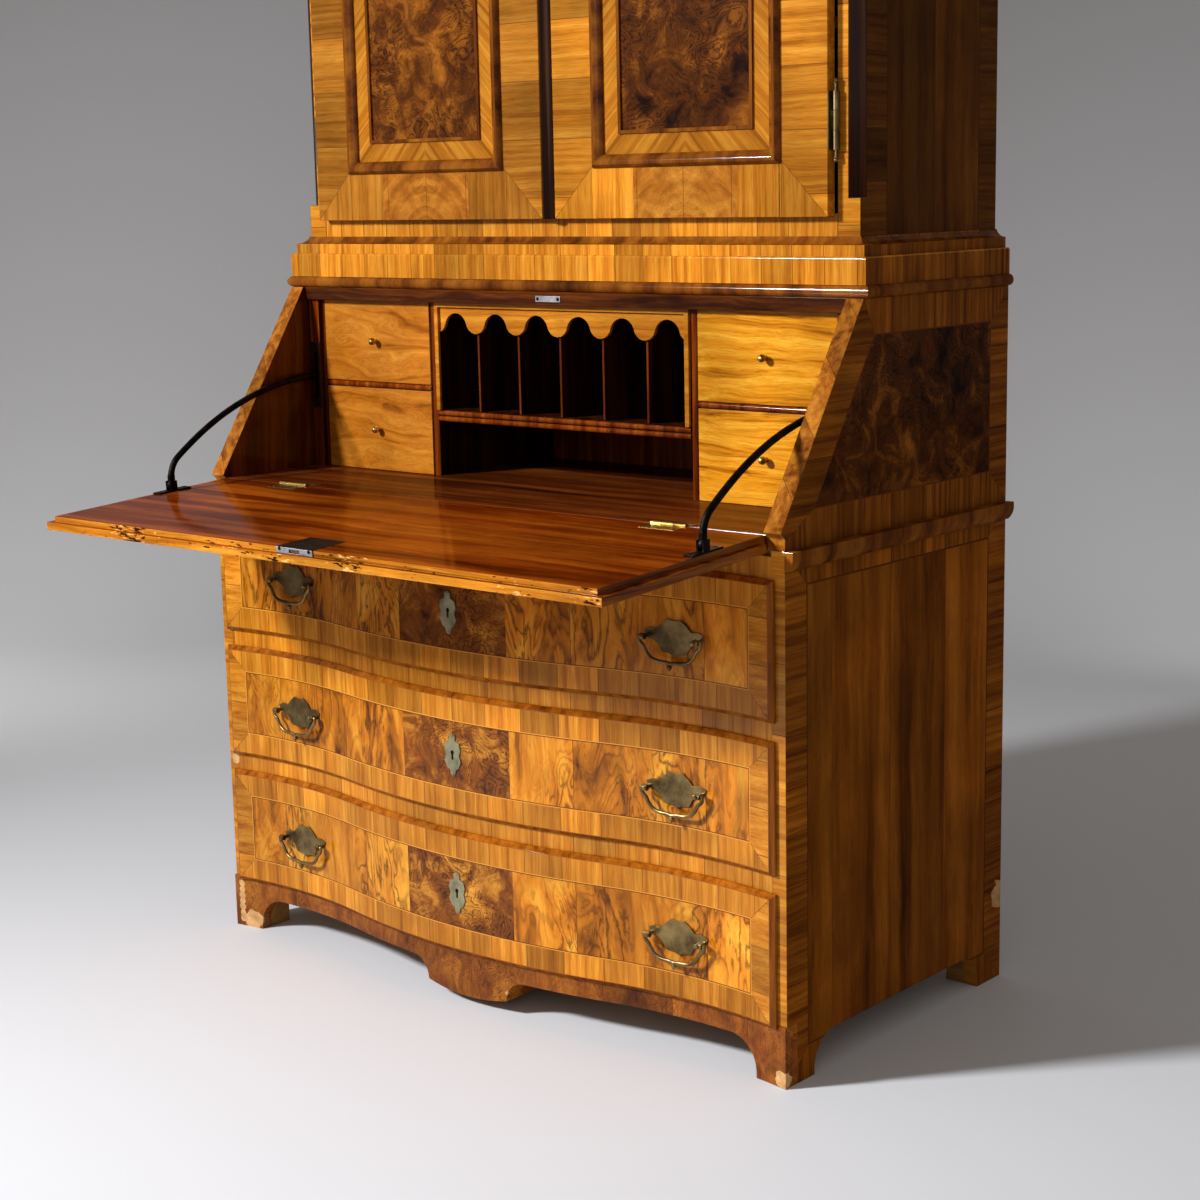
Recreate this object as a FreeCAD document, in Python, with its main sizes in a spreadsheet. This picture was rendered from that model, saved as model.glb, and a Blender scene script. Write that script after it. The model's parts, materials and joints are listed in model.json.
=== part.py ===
"""Walnut escritoire: a serpentine three-drawer chest, a slant-front desk with its fall
let down on iron stays, and a two-door upper cabinet.

Millimetres. +X to the viewer's right, -Y to the front, +Z up. The origin is on the floor,
below the middle of the whole outline. The fall is open, the doors and drawers are shut.
"""
import FreeCAD, Part
import math
import os
import Sketcher
from FreeCAD import Placement, Rotation, Vector

# Driving dimensions, in millimetres unless the name says degrees, share or count.
SIZES = {
    # Chest carcass
    "carcass_width": 1120, "carcass_depth": 550, "side_thickness": 22, "back_thickness": 12,
    "board_thickness": 18, "base_level": 82, "lower_drawer_height": 187,
    "middle_drawer_height": 182, "upper_drawer_height": 189, "rail_show": 25, "lip_overlap": 4,
    "top_rail_show": 30, "fall_passage": 8, "stile_show": 15, "rail_depth": 60,
    "runner_width": 40, "fit_gap": 0.3, "slide_gap": 1, "overrun": 80,
    # Serpentine front
    "bow_depth": 47, "bow_share": 0.605, "hollow_inset": 140, "drawer_proud": 10,
    "lip_easing": 6,
    # Feet and apron
    "apron_thickness": 24, "front_foot_width": 55, "side_foot_width": 64, "foot_curve": 46,
    "foot_heel": 8, "pendant_half_width": 80, "pendant_shoulder": 32, "pendant_sag": 9,
    # Waist moulding
    "waist_height": 26, "waist_reach": 14,
    # Desk
    "desk_side_thickness": 28, "bed_thickness": 20, "desk_height": 312, "slant_setback": 180,
    "nose_reach": 7, "nose_rise": 4, "desk_top_thickness": 20, "desk_top_inset": 4,
    "desk_moulding_height": 17, "desk_moulding_reach": 8, "desk_moulding_width": 52,
    "desk_foot_inset": 2, "bed_joint": 1, "top_board_inset": 12,
    # Fall
    "fall_length": 332, "fall_thickness": 20, "fall_side_gap": 2, "fall_lip_side": 12,
    "fall_lip_front": 7, "fall_heel": 14, "fall_joint_gap": 1, "fall_droop_degrees": 3.5,
    # Fall hinges, lock and stays
    "hinge_length": 60, "hinge_barrel_radius": 4, "hinge_pin_radius": 2, "pin_play": 0.05,
    "hinge_leaf_thickness": 2, "hinge_leaf_width": 24, "hinge_inset": 188, "barrel_gap": 0.5,
    "lock_width": 72, "lock_depth": 62, "lock_plate": 2, "bolt_width": 20, "bolt_height": 5,
    "bolt_length": 24, "bolt_room": 8,
    "strike_width": 49, "strike_height": 9, "strike_thickness": 1.5, "strike_drop": 6,
    "stay_inset": 10.5, "stay_foot": 118, "stay_pivot_rise": 10, "stay_rod_radius": 4.5,
    "stay_rise": 11, "stay_bend": 40, "stay_bend_degrees": 52, "stay_end_back": 208,
    "stay_end_rise": 150, "stay_head_radius": 7, "stay_eye_radius": 6.5, "stay_pin_radius": 2.5,
    "stay_eye_width": 6,
    "bracket_length": 62, "bracket_width": 16, "bracket_plate": 2.5, "bracket_ear": 3,
    "slot_low": 112, "slot_high": 186, "slot_width": 11, "slot_plate": 2,
    # Gallery of small drawers and pigeonholes
    "gallery_setback": 200, "gallery_rear_space": 68, "centre_half_width": 252,
    "partition_thickness": 14, "bank_inset": 27, "bank_side": 6, "slot_board": 8,
    "bank_rail": 10, "bank_rail_level": 132, "shelf_level": 86, "shelf_thickness": 18,
    "divider_thickness": 4, "valance_thickness": 6, "valance_drop": 48,
    "arch_rise": 19, "pendant_width": 38, "pendant_rise": 12, "valance_inset": 2,
    "frame_bead": 8, "frame_bead_depth": 5, "small_front": 10, "small_rear_space": 15,
    "small_wall_drop": 14, "gallery_back": 8, "slot_plate_margin": 16,
    "small_wall": 6, "small_base": 5, "knob_radius": 6, "knob_reach": 15,
    # Long drawer boxes
    "drawer_wall": 12, "drawer_base": 9, "drawer_front_thickness": 24, "drawer_rear_space": 34,
    "drawer_wall_drop": 22,
    # Brass furniture
    "handle_inset": 180, "plate_half_width": 50, "plate_half_height": 25,
    "plate_thickness": 1.6, "bail_post_span": 44, "bail_post_radius": 4.6, "bail_post_width": 8,
    "post_reach": 12, "bail_radius": 2.4, "bail_pin_radius": 1.6, "bail_drop": 34,
    "escutcheon_half_width": 16, "escutcheon_half_height": 32, "keyhole_radius": 3.6,
    # Upper cabinet
    "cabinet_inset": 23, "cabinet_setback": 207, "cabinet_wall": 18, "corner_post_width": 37,
    "cant_front": 20, "cant_side": 14, "cant_stop": 24, "base_moulding_height": 63,
    "base_reach": 24, "frieze_reach": 17, "base_band": 37, "frieze_band": 15,
    "base_rail": 26, "door_height": 800, "top_rail": 26, "cornice_height": 84,
    "cornice_reach": 46, "shelf_board": 16,
    # Doors
    "door_inset": 41, "door_thickness": 17, "door_gap": 1, "door_stile": 79,
    "door_rail": 74, "astragal_half_width": 12.5, "astragal_gap": 0.5, "astragal_reach": 9,
    "panel_thickness": 10,
    "bolection_width": 19, "bolection_reach": 9, "bolection_lap": 3, "feather_band": 28,
    "bead_width": 5, "bead_reach": 3, "door_hinge_length": 76, "door_hinge_offset": 87,
    "door_barrel_radius": 4, "door_pin_radius": 1.8, "finial_length": 10,
}
SHELF_COUNT = 2
PIGEONHOLE_COUNT = 6
BAR_SIDES = 10
WIRE_SIDES = 8
BEND_STEPS = 4
SWEEP_STEPS = 6
SMALL = 0.01

doc = FreeCAD.newDocument("escritoire")
sheet = doc.addObject("Spreadsheet::Sheet", "Sizes")
places = doc.addObject("Spreadsheet::Sheet", "Places")
nodes = []


class Size:
    """A length with its number and the spreadsheet formula that it comes from."""

    def __init__(self, value, formula):
        self.value = value
        self.formula = formula

    def combine(self, other, sign, value):
        return Size(value, f"({self.formula} {sign} {as_size(other).formula})")

    def __add__(self, other):
        return self.combine(other, "+", self.value + as_size(other).value)

    def __sub__(self, other):
        return self.combine(other, "-", self.value - as_size(other).value)

    def __mul__(self, other):
        return self.combine(other, "*", self.value * as_size(other).value)

    def __truediv__(self, other):
        return self.combine(other, "/", self.value / as_size(other).value)

    def __neg__(self):
        return Size(-self.value, f"(0 - {self.formula})")


def as_size(thing):
    return thing if isinstance(thing, Size) else Size(thing, repr(thing))


def root(size):
    return Size(math.sqrt(size.value), f"sqrt({size.formula})")


def cosine(degrees):
    return Size(math.cos(math.radians(degrees.value)), f"cos({degrees.formula} * 1 deg)")


def sine_of(degrees):
    return Size(math.sin(math.radians(degrees.value)), f"sin({degrees.formula} * 1 deg)")


class Dimensions:
    """The driving dimensions by name, each tied to its cell of the sheet."""

    def __init__(self, table):
        for row, (name, value) in enumerate(table.items(), 1):
            sheet.set(f"A{row}", name)
            sheet.set(f"B{row}", str(value))
            sheet.setAlias(f"B{row}", name)
            setattr(self, name, Size(value, f"Sizes.{name}"))


def place(name, size):
    """Keeps a worked-out place as a named formula of the second sheet."""
    place.row += 1
    places.set(f"A{place.row}", name)
    places.set(f"B{place.row}", f"={size.formula}")
    places.setAlias(f"B{place.row}", name)
    return Size(size.value, f"Places.{name}")


place.row = 0
zero = as_size(0)
d = Dimensions(SIZES)
doc.recompute()


# Ways of making a piece

def tie(thing, prop, size):
    thing.setExpression(prop, as_size(size).formula)


def put(thing, x=zero, y=zero, z=zero):
    tie(thing, "Placement.Base.x", x)
    tie(thing, "Placement.Base.y", y)
    tie(thing, "Placement.Base.z", z)
    return thing


def board(x, y, z):
    """A square-edged board between two limits along each axis."""
    box = doc.addObject("Part::Box", "board")
    for prop, (low, high) in zip(("Length", "Width", "Height"), (x, y, z)):
        tie(box, prop, as_size(high) - low)
    return put(box, as_size(x[0]), as_size(y[0]), as_size(z[0]))


def draw(sketch, outline):
    """A closed outline of (u, v) corners. A third entry makes the edge that arrives at the
    corner an arc of that radius, counter-clockwise where it is positive."""
    links = []
    for index, corner in enumerate(outline):
        start, end = outline[index - 1], corner
        p = Vector(as_size(start[0]).value, as_size(start[1]).value, 0)
        q = Vector(as_size(end[0]).value, as_size(end[1]).value, 0)
        if len(corner) == 2:
            links.append((sketch.addGeometry(Part.LineSegment(p, q)), 1, 2))
        else:
            radius = corner[2].value
            chord = q - p
            left = Vector(-chord.y, chord.x, 0).normalize()
            rise = abs(radius) - math.sqrt(max(radius ** 2 - chord.Length ** 2 / 4, 0))
            crown = (p + q) / 2 - left * math.copysign(rise, radius)
            ends = (p, q) if radius > 0 else (q, p)
            arc = sketch.addGeometry(Part.Arc(ends[0], crown, ends[1]))
            links.append((arc, 1, 2) if radius > 0 else (arc, 2, 1))
    for index, corner in enumerate(outline):
        edge, _, tip = links[index]
        after, tail, _ = links[(index + 1) % len(links)]
        sketch.addConstraint(Sketcher.Constraint("Coincident", edge, tip, after, tail))
        for kind, size in (("DistanceX", corner[0]), ("DistanceY", corner[1])):
            size = as_size(size)
            number = sketch.addConstraint(Sketcher.Constraint(kind, -1, 1, edge, tip, size.value))
            sketch.setExpression(f"Constraints[{number}]", size.formula)
        if len(corner) == 3:
            radius = corner[2] if corner[2].value > 0 else -corner[2]
            number = sketch.addConstraint(Sketcher.Constraint("Radius", edge, radius.value))
            sketch.setExpression(f"Constraints[{number}]", radius.formula)


def sketch_on(body, plane, outline, lift=zero):
    """A sketch on one of the body's own origin planes, raised along its normal."""
    sketch = body.newObject("Sketcher::SketchObject", "outline")
    origin = [o for o in body.Origin.OriginFeatures if o.Role == plane + "_Plane"][0]
    sketch.AttachmentSupport = [(origin, "")]
    sketch.MapMode = "FlatFace"
    tie(sketch, "AttachmentOffset.Base.z", lift)
    draw(sketch, outline)
    return sketch


def pad(body, plane, outline, length, lift=zero, backward=False):
    feature = body.newObject("PartDesign::Pad", "pad")
    feature.Profile = sketch_on(body, plane, outline, lift)
    tie(feature, "Length", length)
    feature.Reversed = backward
    return feature


def pocket(body, plane, outline):
    """A cut right through the body, both ways from the plane."""
    doc.recompute()
    before = body.Shape.Volume
    feature = body.newObject("PartDesign::Pocket", "pocket")
    feature.Profile = sketch_on(body, plane, outline)
    feature.Type = "ThroughAll"
    feature.SideType = "Symmetric"
    doc.recompute()
    if body.Shape.Volume >= before:
        raise ValueError("a pocket cut nothing")
    return feature


def profiled(plane, outline, length, backward=False):
    """A body of one outline carried along its plane's normal."""
    body = doc.addObject("PartDesign::Body", "piece")
    pad(body, plane, outline, length, backward=backward)
    return body


def strip(section, run, reach, mitres=(0, 0)):
    """A moulding that runs along its own X from 0 to run at its back edge. The section is in
    (out, up) corners, out being its own -Y, and a mitred end lengthens outwards."""
    body = doc.addObject("PartDesign::Body", "strip")
    turned = [(-as_size(c[0]), c[1]) if len(c) == 2 else (-as_size(c[0]), c[1], -c[2])
              for c in section]
    start, end = mitres
    pad(body, "YZ", turned, run + reach * (start + end), -reach * start)
    v = d.overrun
    if start:
        pocket(body, "XY", [(v, v), (-reach - v, -reach - v), (-reach - v, v)])
    if end:
        pocket(body, "XY", [(run - v, v), (run + reach + v, v), (run + reach + v, -reach - v)])
    return body


def turn(body, *steps):
    """Turns a body about the axes given, the first step first."""
    rotation = Rotation()
    for axis, degrees in steps:
        rotation = Rotation(axis, degrees) * rotation
    body.Placement = Placement(Vector(), rotation)
    return body


def modelled(shape):
    """A piece whose shape is worked out here from the sizes in the sheet."""
    feature = doc.addObject("Part::Feature", "piece")
    feature.Shape = shape
    return feature


def cut(base, *tools):
    for tool in tools:
        result = doc.addObject("Part::Cut", "cut")
        result.Base = base
        result.Tool = tool
        base = result
    return base


def fuse(*pieces):
    result = doc.addObject("Part::MultiFuse", "joined")
    result.Shapes = list(pieces)
    return result


def rod(radius, length, x=zero, y=zero, z=zero, axis=None):
    """A round bar from a point along +Z, or along the axis given."""
    bar = doc.addObject("Part::Cylinder", "rod")
    tie(bar, "Radius", radius)
    tie(bar, "Height", length)
    if axis:
        bar.Placement = Placement(Vector(), Rotation(Vector(0, 0, 1), axis))
    return put(bar, x, y, z)


def bar(radius, length, x=zero, y=zero, z=zero, axis=None):
    """A turned bar as a many-sided prism, from a point along +Z or along the axis given."""
    prism = doc.addObject("Part::Prism", "bar")
    prism.Polygon = BAR_SIDES
    tie(prism, "Circumradius", radius)
    tie(prism, "Height", length)
    if axis:
        prism.Placement = Placement(Vector(), Rotation(Vector(0, 0, 1), axis))
    return put(prism, x, y, z)


def node(label, *pieces):
    """Names one sub-part. Several pieces stay separate solids of one group."""
    whole = pieces[0]
    if len(pieces) > 1:
        whole = doc.addObject("Part::Compound", "group")
        whole.Links = list(pieces)
    whole.Label = label
    nodes.append(whole)
    return whole


def pair(x, y, z):
    """The same board on the left and on the right."""
    return board(x, y, z), board((-as_size(x[1]), -as_size(x[0])), y, z)


X_AXIS, Y_AXIS, Z_AXIS = Vector(1, 0, 0), Vector(0, 1, 0), Vector(0, 0, 1)

# Main lines of the carcass
half = place("half_width", d.carcass_width / 2)
slant_run = place("slant_run", d.slant_setback + d.nose_reach)
slant_climb = place("slant_climb", d.desk_height - d.bed_thickness - d.nose_rise)
slant_length = place("slant_length", root(slant_run * slant_run + slant_climb * slant_climb))
slant_off = place("slant_off", (d.nose_reach * slant_climb + d.nose_rise * slant_run)
                  / slant_length)
rebate = place("rebate", slant_off + d.fit_gap)
fall_reach = place("fall_reach", (d.fall_length + d.fall_lip_front) * cosine(d.fall_droop_degrees)
                   - rebate * sine_of(d.fall_droop_degrees))
front = place("front_plane", (fall_reach - d.carcass_depth) / 2)
rear = place("rear_plane", front + d.carcass_depth)
back_face = place("back_face", rear - d.back_thickness)
inner = place("chest_inner", half - d.side_thickness)
lip_half = place("lip_half_width", half - d.stile_show)
lower_top = place("lower_lip_top", d.base_level + d.lower_drawer_height)
middle_base = place("middle_lip_base", lower_top + d.rail_show)
middle_top = place("middle_lip_top", middle_base + d.middle_drawer_height)
upper_base = place("upper_lip_base", middle_top + d.rail_show)
upper_top = place("upper_lip_top", upper_base + d.upper_drawer_height)
top_rail_level = place("top_rail_level", upper_top + d.top_rail_show)
chest_top = place("chest_top", top_rail_level + d.fall_passage)
writing_level = place("writing_level", chest_top + d.bed_thickness)
desk_top = place("desk_top_level", chest_top + d.desk_height)
desk_inner = place("desk_inner", half - d.desk_side_thickness)

# The serpentine: a bow at the middle between two hollows, three arcs that meet in tangents
hollow_offset = place("hollow_offset", half - d.hollow_inset)
slope = place("bow_half_slope", d.bow_depth / hollow_offset)
sine = place("bow_sine", slope * 2 / (slope * slope + 1))
bow_radius = place("bow_radius", hollow_offset / sine * d.bow_share)
hollow_radius = place("hollow_radius", hollow_offset / sine - bow_radius)
turning = place("bow_turning", bow_radius * sine)


def hollow_depth(x):
    """How far the hollow's arc has come forward at a distance from the middle."""
    run = as_size(x) - hollow_offset
    return hollow_radius - root(hollow_radius * hollow_radius - run * run)


hollow_line = place("hollow_line", front + hollow_depth(lip_half))
turning_line = place("turning_line", hollow_line - hollow_depth(turning))
stile_line = place("stile_line", hollow_line - hollow_depth(inner))


def serpentine(width, shift=zero):
    """Corners of the front line from left to right, ending at half the width given."""
    end = hollow_line - hollow_depth(width) + shift
    middle = turning_line + shift
    return [(-width, end), (-turning, middle, -hollow_radius), (turning, middle, bow_radius),
            (width, end, -hollow_radius)]


# Chest

def flat_back(width, depth):
    """The far edge of a board behind the serpentine, from right to left."""
    return [(width, front + depth), (-width, front + depth)]


def chest_side():
    """Side board with its bracket feet cut in the lower edge."""
    heel, curve = d.foot_heel, d.foot_curve
    top = heel + curve
    toe = front + d.side_foot_width
    rear_toe = rear - d.side_foot_width
    apron_back = front + d.apron_thickness
    step = d.base_level + d.lip_overlap
    return profiled("YZ", [
        (apron_back, 0), (toe, 0), (toe, heel), (toe + curve, top, -curve),
        (rear_toe - curve, top), (rear_toe, heel, -curve), (rear_toe, 0), (rear, 0),
        (rear, chest_top), (stile_line, chest_top), (stile_line, step), (apron_back, step)],
        d.side_thickness)


def chest_apron():
    """Serpentine apron with its two front feet and the drop at the middle."""
    body = doc.addObject("PartDesign::Body", "apron")
    pad(body, "XY", serpentine(half) + flat_back(half, d.apron_thickness),
        d.base_level + d.lip_overlap)
    heel, curve, sag = d.foot_heel, d.foot_curve, d.pendant_sag
    top = heel + curve
    toe = half - d.front_foot_width
    drop, shoulder = d.pendant_half_width, d.pendant_shoulder
    lobe = (drop * drop + sag * sag) / (sag * 2)
    under = -d.overrun
    pocket(body, "XZ", [
        (toe, under), (toe, heel), (toe - curve, top, curve), (drop + shoulder, top),
        (drop, top - shoulder, shoulder), (0, top - shoulder - sag, -lobe),
        (-drop, top - shoulder, -lobe), (-drop - shoulder, top, shoulder),
        (curve - toe, top), (-toe, heel, curve), (-toe, under)])
    return body


def drawer_rail(low, high):
    """Rail with the serpentine along its front edge."""
    rail = profiled("XY", serpentine(inner) + flat_back(inner, d.rail_depth), high - low)
    return put(rail, z=low)


floor_level = place("chest_floor", d.base_level + d.lip_overlap)
floor_base = place("chest_floor_base", floor_level - d.board_thickness)
apron_back = place("apron_back", front + d.apron_thickness)
rail_back = place("rail_back", front + d.rail_depth)
block_inner = place("block_inner", half - d.front_foot_width)
node("chest_sides", put(chest_side(), inner), put(chest_side(), -half))
node("chest_apron", chest_apron())
node("chest_boards",
     board((-inner, inner), (apron_back, back_face), (floor_base, floor_level)),
     board((-inner, inner), (front + d.top_board_inset, back_face), (top_rail_level, chest_top)))
node("foot_blocks",
     *pair((block_inner, inner), (apron_back, front + d.side_foot_width), (0, floor_base)),
     *pair((block_inner, inner), (rear - d.side_foot_width, rear), (0, floor_base)))
node("drawer_rails",
     drawer_rail(lower_top - d.lip_overlap, middle_base + d.lip_overlap),
     drawer_rail(middle_top - d.lip_overlap, upper_base + d.lip_overlap),
     drawer_rail(upper_top - d.lip_overlap, top_rail_level))


def runners(level):
    top = level + d.lip_overlap
    return pair((inner - d.runner_width, inner), (rail_back, back_face),
                (top - d.board_thickness, top))


node("drawer_runners", *runners(middle_base), *runners(upper_base))


def both_sides(section, x, z, reach, start, mitred):
    """A moulding along the right side and its like along the left, from a place to the rear."""
    run = rear - start
    right = strip(section, run, reach, (mitred, 0))
    left = strip(section, run, reach, (0, mitred))
    turn(right, (Z_AXIS, 90))
    turn(left, (Z_AXIS, -90))
    return put(right, x, start, z), put(left, -x, rear, z)


w, h = d.waist_reach, d.waist_height
WAIST_SHARES = (0.35, 0.62)
waist = [(0, 0), (w * WAIST_SHARES[0], 0), (w, h * WAIST_SHARES[1], h), (w, h), (0, h)]
node("waist_moulding", *both_sides(waist, half, chest_top - h, w, front, 0))

# Desk
desk_line = place("desk_foot_line", front + d.desk_foot_inset)
nose_line = place("nose_line", front - d.nose_reach)
nose_level = place("nose_level", writing_level + d.nose_rise)
slant_top = place("slant_top", front + d.slant_setback)
top_front = place("desk_top_front", slant_top + d.desk_top_inset)
top_under = place("desk_top_under", desk_top - d.desk_top_thickness)
bed_front = place("bed_front", front + d.bed_joint)


def desk_side():
    return profiled("YZ", [
        (desk_line, chest_top), (rear, chest_top), (rear, desk_top), (slant_top, desk_top),
        (nose_line, nose_level), (desk_line, writing_level - d.nose_rise)],
        d.desk_side_thickness)


barrel, knuckle = d.hinge_barrel_radius, place("knuckle", d.hinge_length / 3)
barrel_room = place("barrel_room", barrel + d.barrel_gap)
leaf_end = place("leaf_end", barrel_room + d.hinge_leaf_width)
leaf = d.hinge_leaf_thickness
hinge_half = place("hinge_half", d.hinge_length / 2 + d.fit_gap)


def hinge_room(x, pin_y, pin_z, away):
    """Space for a hinge in an edge: the barrel's notch and the bed of the leaf."""
    span = (x - hinge_half, x + hinge_half)
    return (board(span, between(pin_y, pin_y + barrel_room * away),
                  (pin_z - barrel_room, pin_z + barrel)),
            board(span, between(pin_y, pin_y + leaf_end * away), (pin_z - leaf, pin_z + leaf)))


def between(one, other):
    """Two limits in rising order."""
    one, other = as_size(one), as_size(other)
    return (one, other) if one.value < other.value else (other, one)


def fixed_leaf(x, pin_y, pin_z):
    """Leaf on the bed with the two outer knuckles and the pin."""
    low = x - d.hinge_length / 2
    gap = d.barrel_gap
    flat = (pin_z - leaf, pin_z)
    parts = [board((low, low + d.hinge_length), (pin_y + barrel_room, pin_y + leaf_end), flat),
             bar(d.hinge_pin_radius, knuckle + gap * 2, x - knuckle / 2 - gap, pin_y, pin_z, X_AXIS)]
    for start in (low, low + knuckle * 2 + gap):
        parts.append(bar(barrel, knuckle - gap, start, pin_y, pin_z, X_AXIS))
        parts.append(board((start, start + knuckle - gap), (pin_y, pin_y + barrel_room), flat))
    return fuse(*parts)


def moving_leaf(x):
    """Leaf on the fall with the middle knuckle, bored for the pin. The pin is the origin."""
    low = x - d.hinge_length / 2
    start = x - knuckle / 2
    flat = (-leaf, zero)
    whole = fuse(board((low, low + d.hinge_length), (-leaf_end, -barrel_room), flat),
                 bar(barrel, knuckle, start, axis=X_AXIS),
                 board((start, start + knuckle), (-barrel_room, zero), flat))
    return cut(whole, rod(d.hinge_pin_radius + d.pin_play, knuckle, start, axis=X_AXIS))


hinge_offset = place("hinge_offset", half - d.hinge_inset)
hinge_places = (hinge_offset, -hinge_offset)
node("desk_sides", put(desk_side(), desk_inner), put(desk_side(), -half))
bed = board((-desk_inner, desk_inner), (bed_front, back_face), (chest_top, writing_level))
bed_rooms = [room for x in hinge_places for room in hinge_room(x, front, writing_level, 1)]
node("desk_boards", cut(bed, *bed_rooms),
     board((-desk_inner, desk_inner), (top_front, back_face), (top_under, desk_top)))
node("bed_hinge_leaves", *[fixed_leaf(x, front, writing_level) for x in hinge_places])

# Moulding on the desk top, with the cabinet standing on its inner part
w, h = d.desk_moulding_reach, d.desk_moulding_height
edge = h / 2
inward = -d.desk_moulding_width
desk_section = [(inward, 0), (0, 0), (w, edge, edge), (0, h, edge), (inward, h)]
moulding_line = place("moulding_line", top_front + d.desk_foot_inset)
front_strip = strip(desk_section, half * 2, w, (1, 1))
node("desk_top_moulding", put(front_strip, -half, moulding_line, desk_top),
     *both_sides(desk_section, half, desk_top, w, moulding_line, 1))


# Fall, drawn level about its pin and then let down by the droop

def hang(label, *pieces):
    whole = doc.addObject("Part::Compound", "hung")
    whole.Links = list(pieces)
    whole.Placement = Placement(Vector(), Rotation(X_AXIS, SIZES["fall_droop_degrees"]))
    tie(whole, "Placement.Rotation.Angle", d.fall_droop_degrees)
    put(whole, y=front, z=writing_level)
    whole.Label = label
    nodes.append(whole)


fall_half = place("fall_half", desk_inner - d.fall_side_gap)
fall_lip_half = place("fall_lip_half", fall_half + d.fall_lip_side)
fall_under = -d.fall_thickness
bolt_half = place("bolt_half", d.bolt_width / 2)
bolt_top = -d.lock_plate
bolt_low = place("bolt_low", bolt_top - d.bolt_height)
play = d.fit_gap
bolt_end = place("bolt_end", d.bolt_length - d.fall_length)
lock_half = place("lock_half", d.lock_width / 2)
lock_back = place("lock_back", d.lock_depth - d.fall_length)
fall_blank = fuse(
    board((-fall_half, fall_half), (-d.fall_length, -d.fall_joint_gap), (fall_under, zero)),
    board((-fall_lip_half, fall_lip_half), (-d.fall_length - d.fall_lip_front, -d.fall_heel),
          (fall_under, -rebate)))
fall_rooms = [room for x in hinge_places for room in hinge_room(x, zero, zero, -1)]
lock_bed = board((-lock_half, lock_half), (-d.fall_length, lock_back), (-d.lock_plate, barrel))
bolt_way = board((-bolt_half - play, bolt_half + play),
                 (-d.fall_length, bolt_end + d.bolt_room), (bolt_low - play, bolt_top))
hang("fall_board", cut(fall_blank, *fall_rooms, lock_bed, bolt_way))
edge_plate = board((-lock_half, lock_half), (-d.fall_length - d.strike_thickness, -d.fall_length),
                   (-rebate + play, zero))
edge_hole = board((-bolt_half - play, bolt_half + play),
                  (-d.fall_length - d.overrun, -d.fall_length), (bolt_low - play, bolt_top))
hang("fall_lock",
     board((-lock_half, lock_half), (-d.fall_length, lock_back), (-d.lock_plate, zero)),
     cut(edge_plate, edge_hole))
hang("fall_lock_bolt",
     board((-bolt_half, bolt_half), (-d.fall_length, bolt_end), (bolt_low, bolt_top - play)))
hang("fall_hinge_leaves", *[moving_leaf(x) for x in hinge_places])


def stay_bracket(x):
    """Plate with two ears and the stay's pin."""
    mid = -d.stay_foot
    ear_in = d.stay_eye_width / 2 + play
    ear_out = ear_in + d.bracket_ear
    ear_half = d.stay_eye_radius
    top = d.stay_pivot_rise + d.stay_eye_radius
    flat = (x - d.bracket_width / 2, x + d.bracket_width / 2)
    return fuse(
        board(flat, (mid - d.bracket_length / 2, mid + d.bracket_length / 2),
              (zero, d.bracket_plate)),
        board((x + ear_in, x + ear_out), (mid - ear_half, mid + ear_half), (zero, top)),
        board((x - ear_out, x - ear_in), (mid - ear_half, mid + ear_half), (zero, top)),
        bar(d.stay_pin_radius, ear_out * 2, x - ear_out, mid, d.stay_pivot_rise, X_AXIS))


stay_plane = place("stay_plane", desk_inner - d.stay_inset)
hang("stay_brackets", stay_bracket(stay_plane), stay_bracket(-stay_plane))


def number(name):
    """A size as a plain number, read from the sheet."""
    return float(sheet.get(name))


def wire_bar(points, radius):
    """A many-sided bar that follows points, mitred where it bends."""
    along = (points[1] - points[0]).normalize()
    side = X_AXIS if abs(along.x) < SMALL else along.cross(Z_AXIS).normalize()
    spread = [Rotation(along, 360 * (n + 0.5) / WIRE_SIDES).multVec(side * radius) + points[0]
              for n in range(WIRE_SIDES)]
    section = Part.makePolygon(spread + spread[:1])
    return Part.makePolygon(points).makePipeShell([section], True, False, 1)


def arc_points(centre, arm, angle, count):
    """Points along an arc that turns from up to back, without its first."""
    return [centre + Rotation(-X_AXIS, math.degrees(angle) * n / count).multVec(arm)
            for n in range(1, count + 1)]


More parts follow.
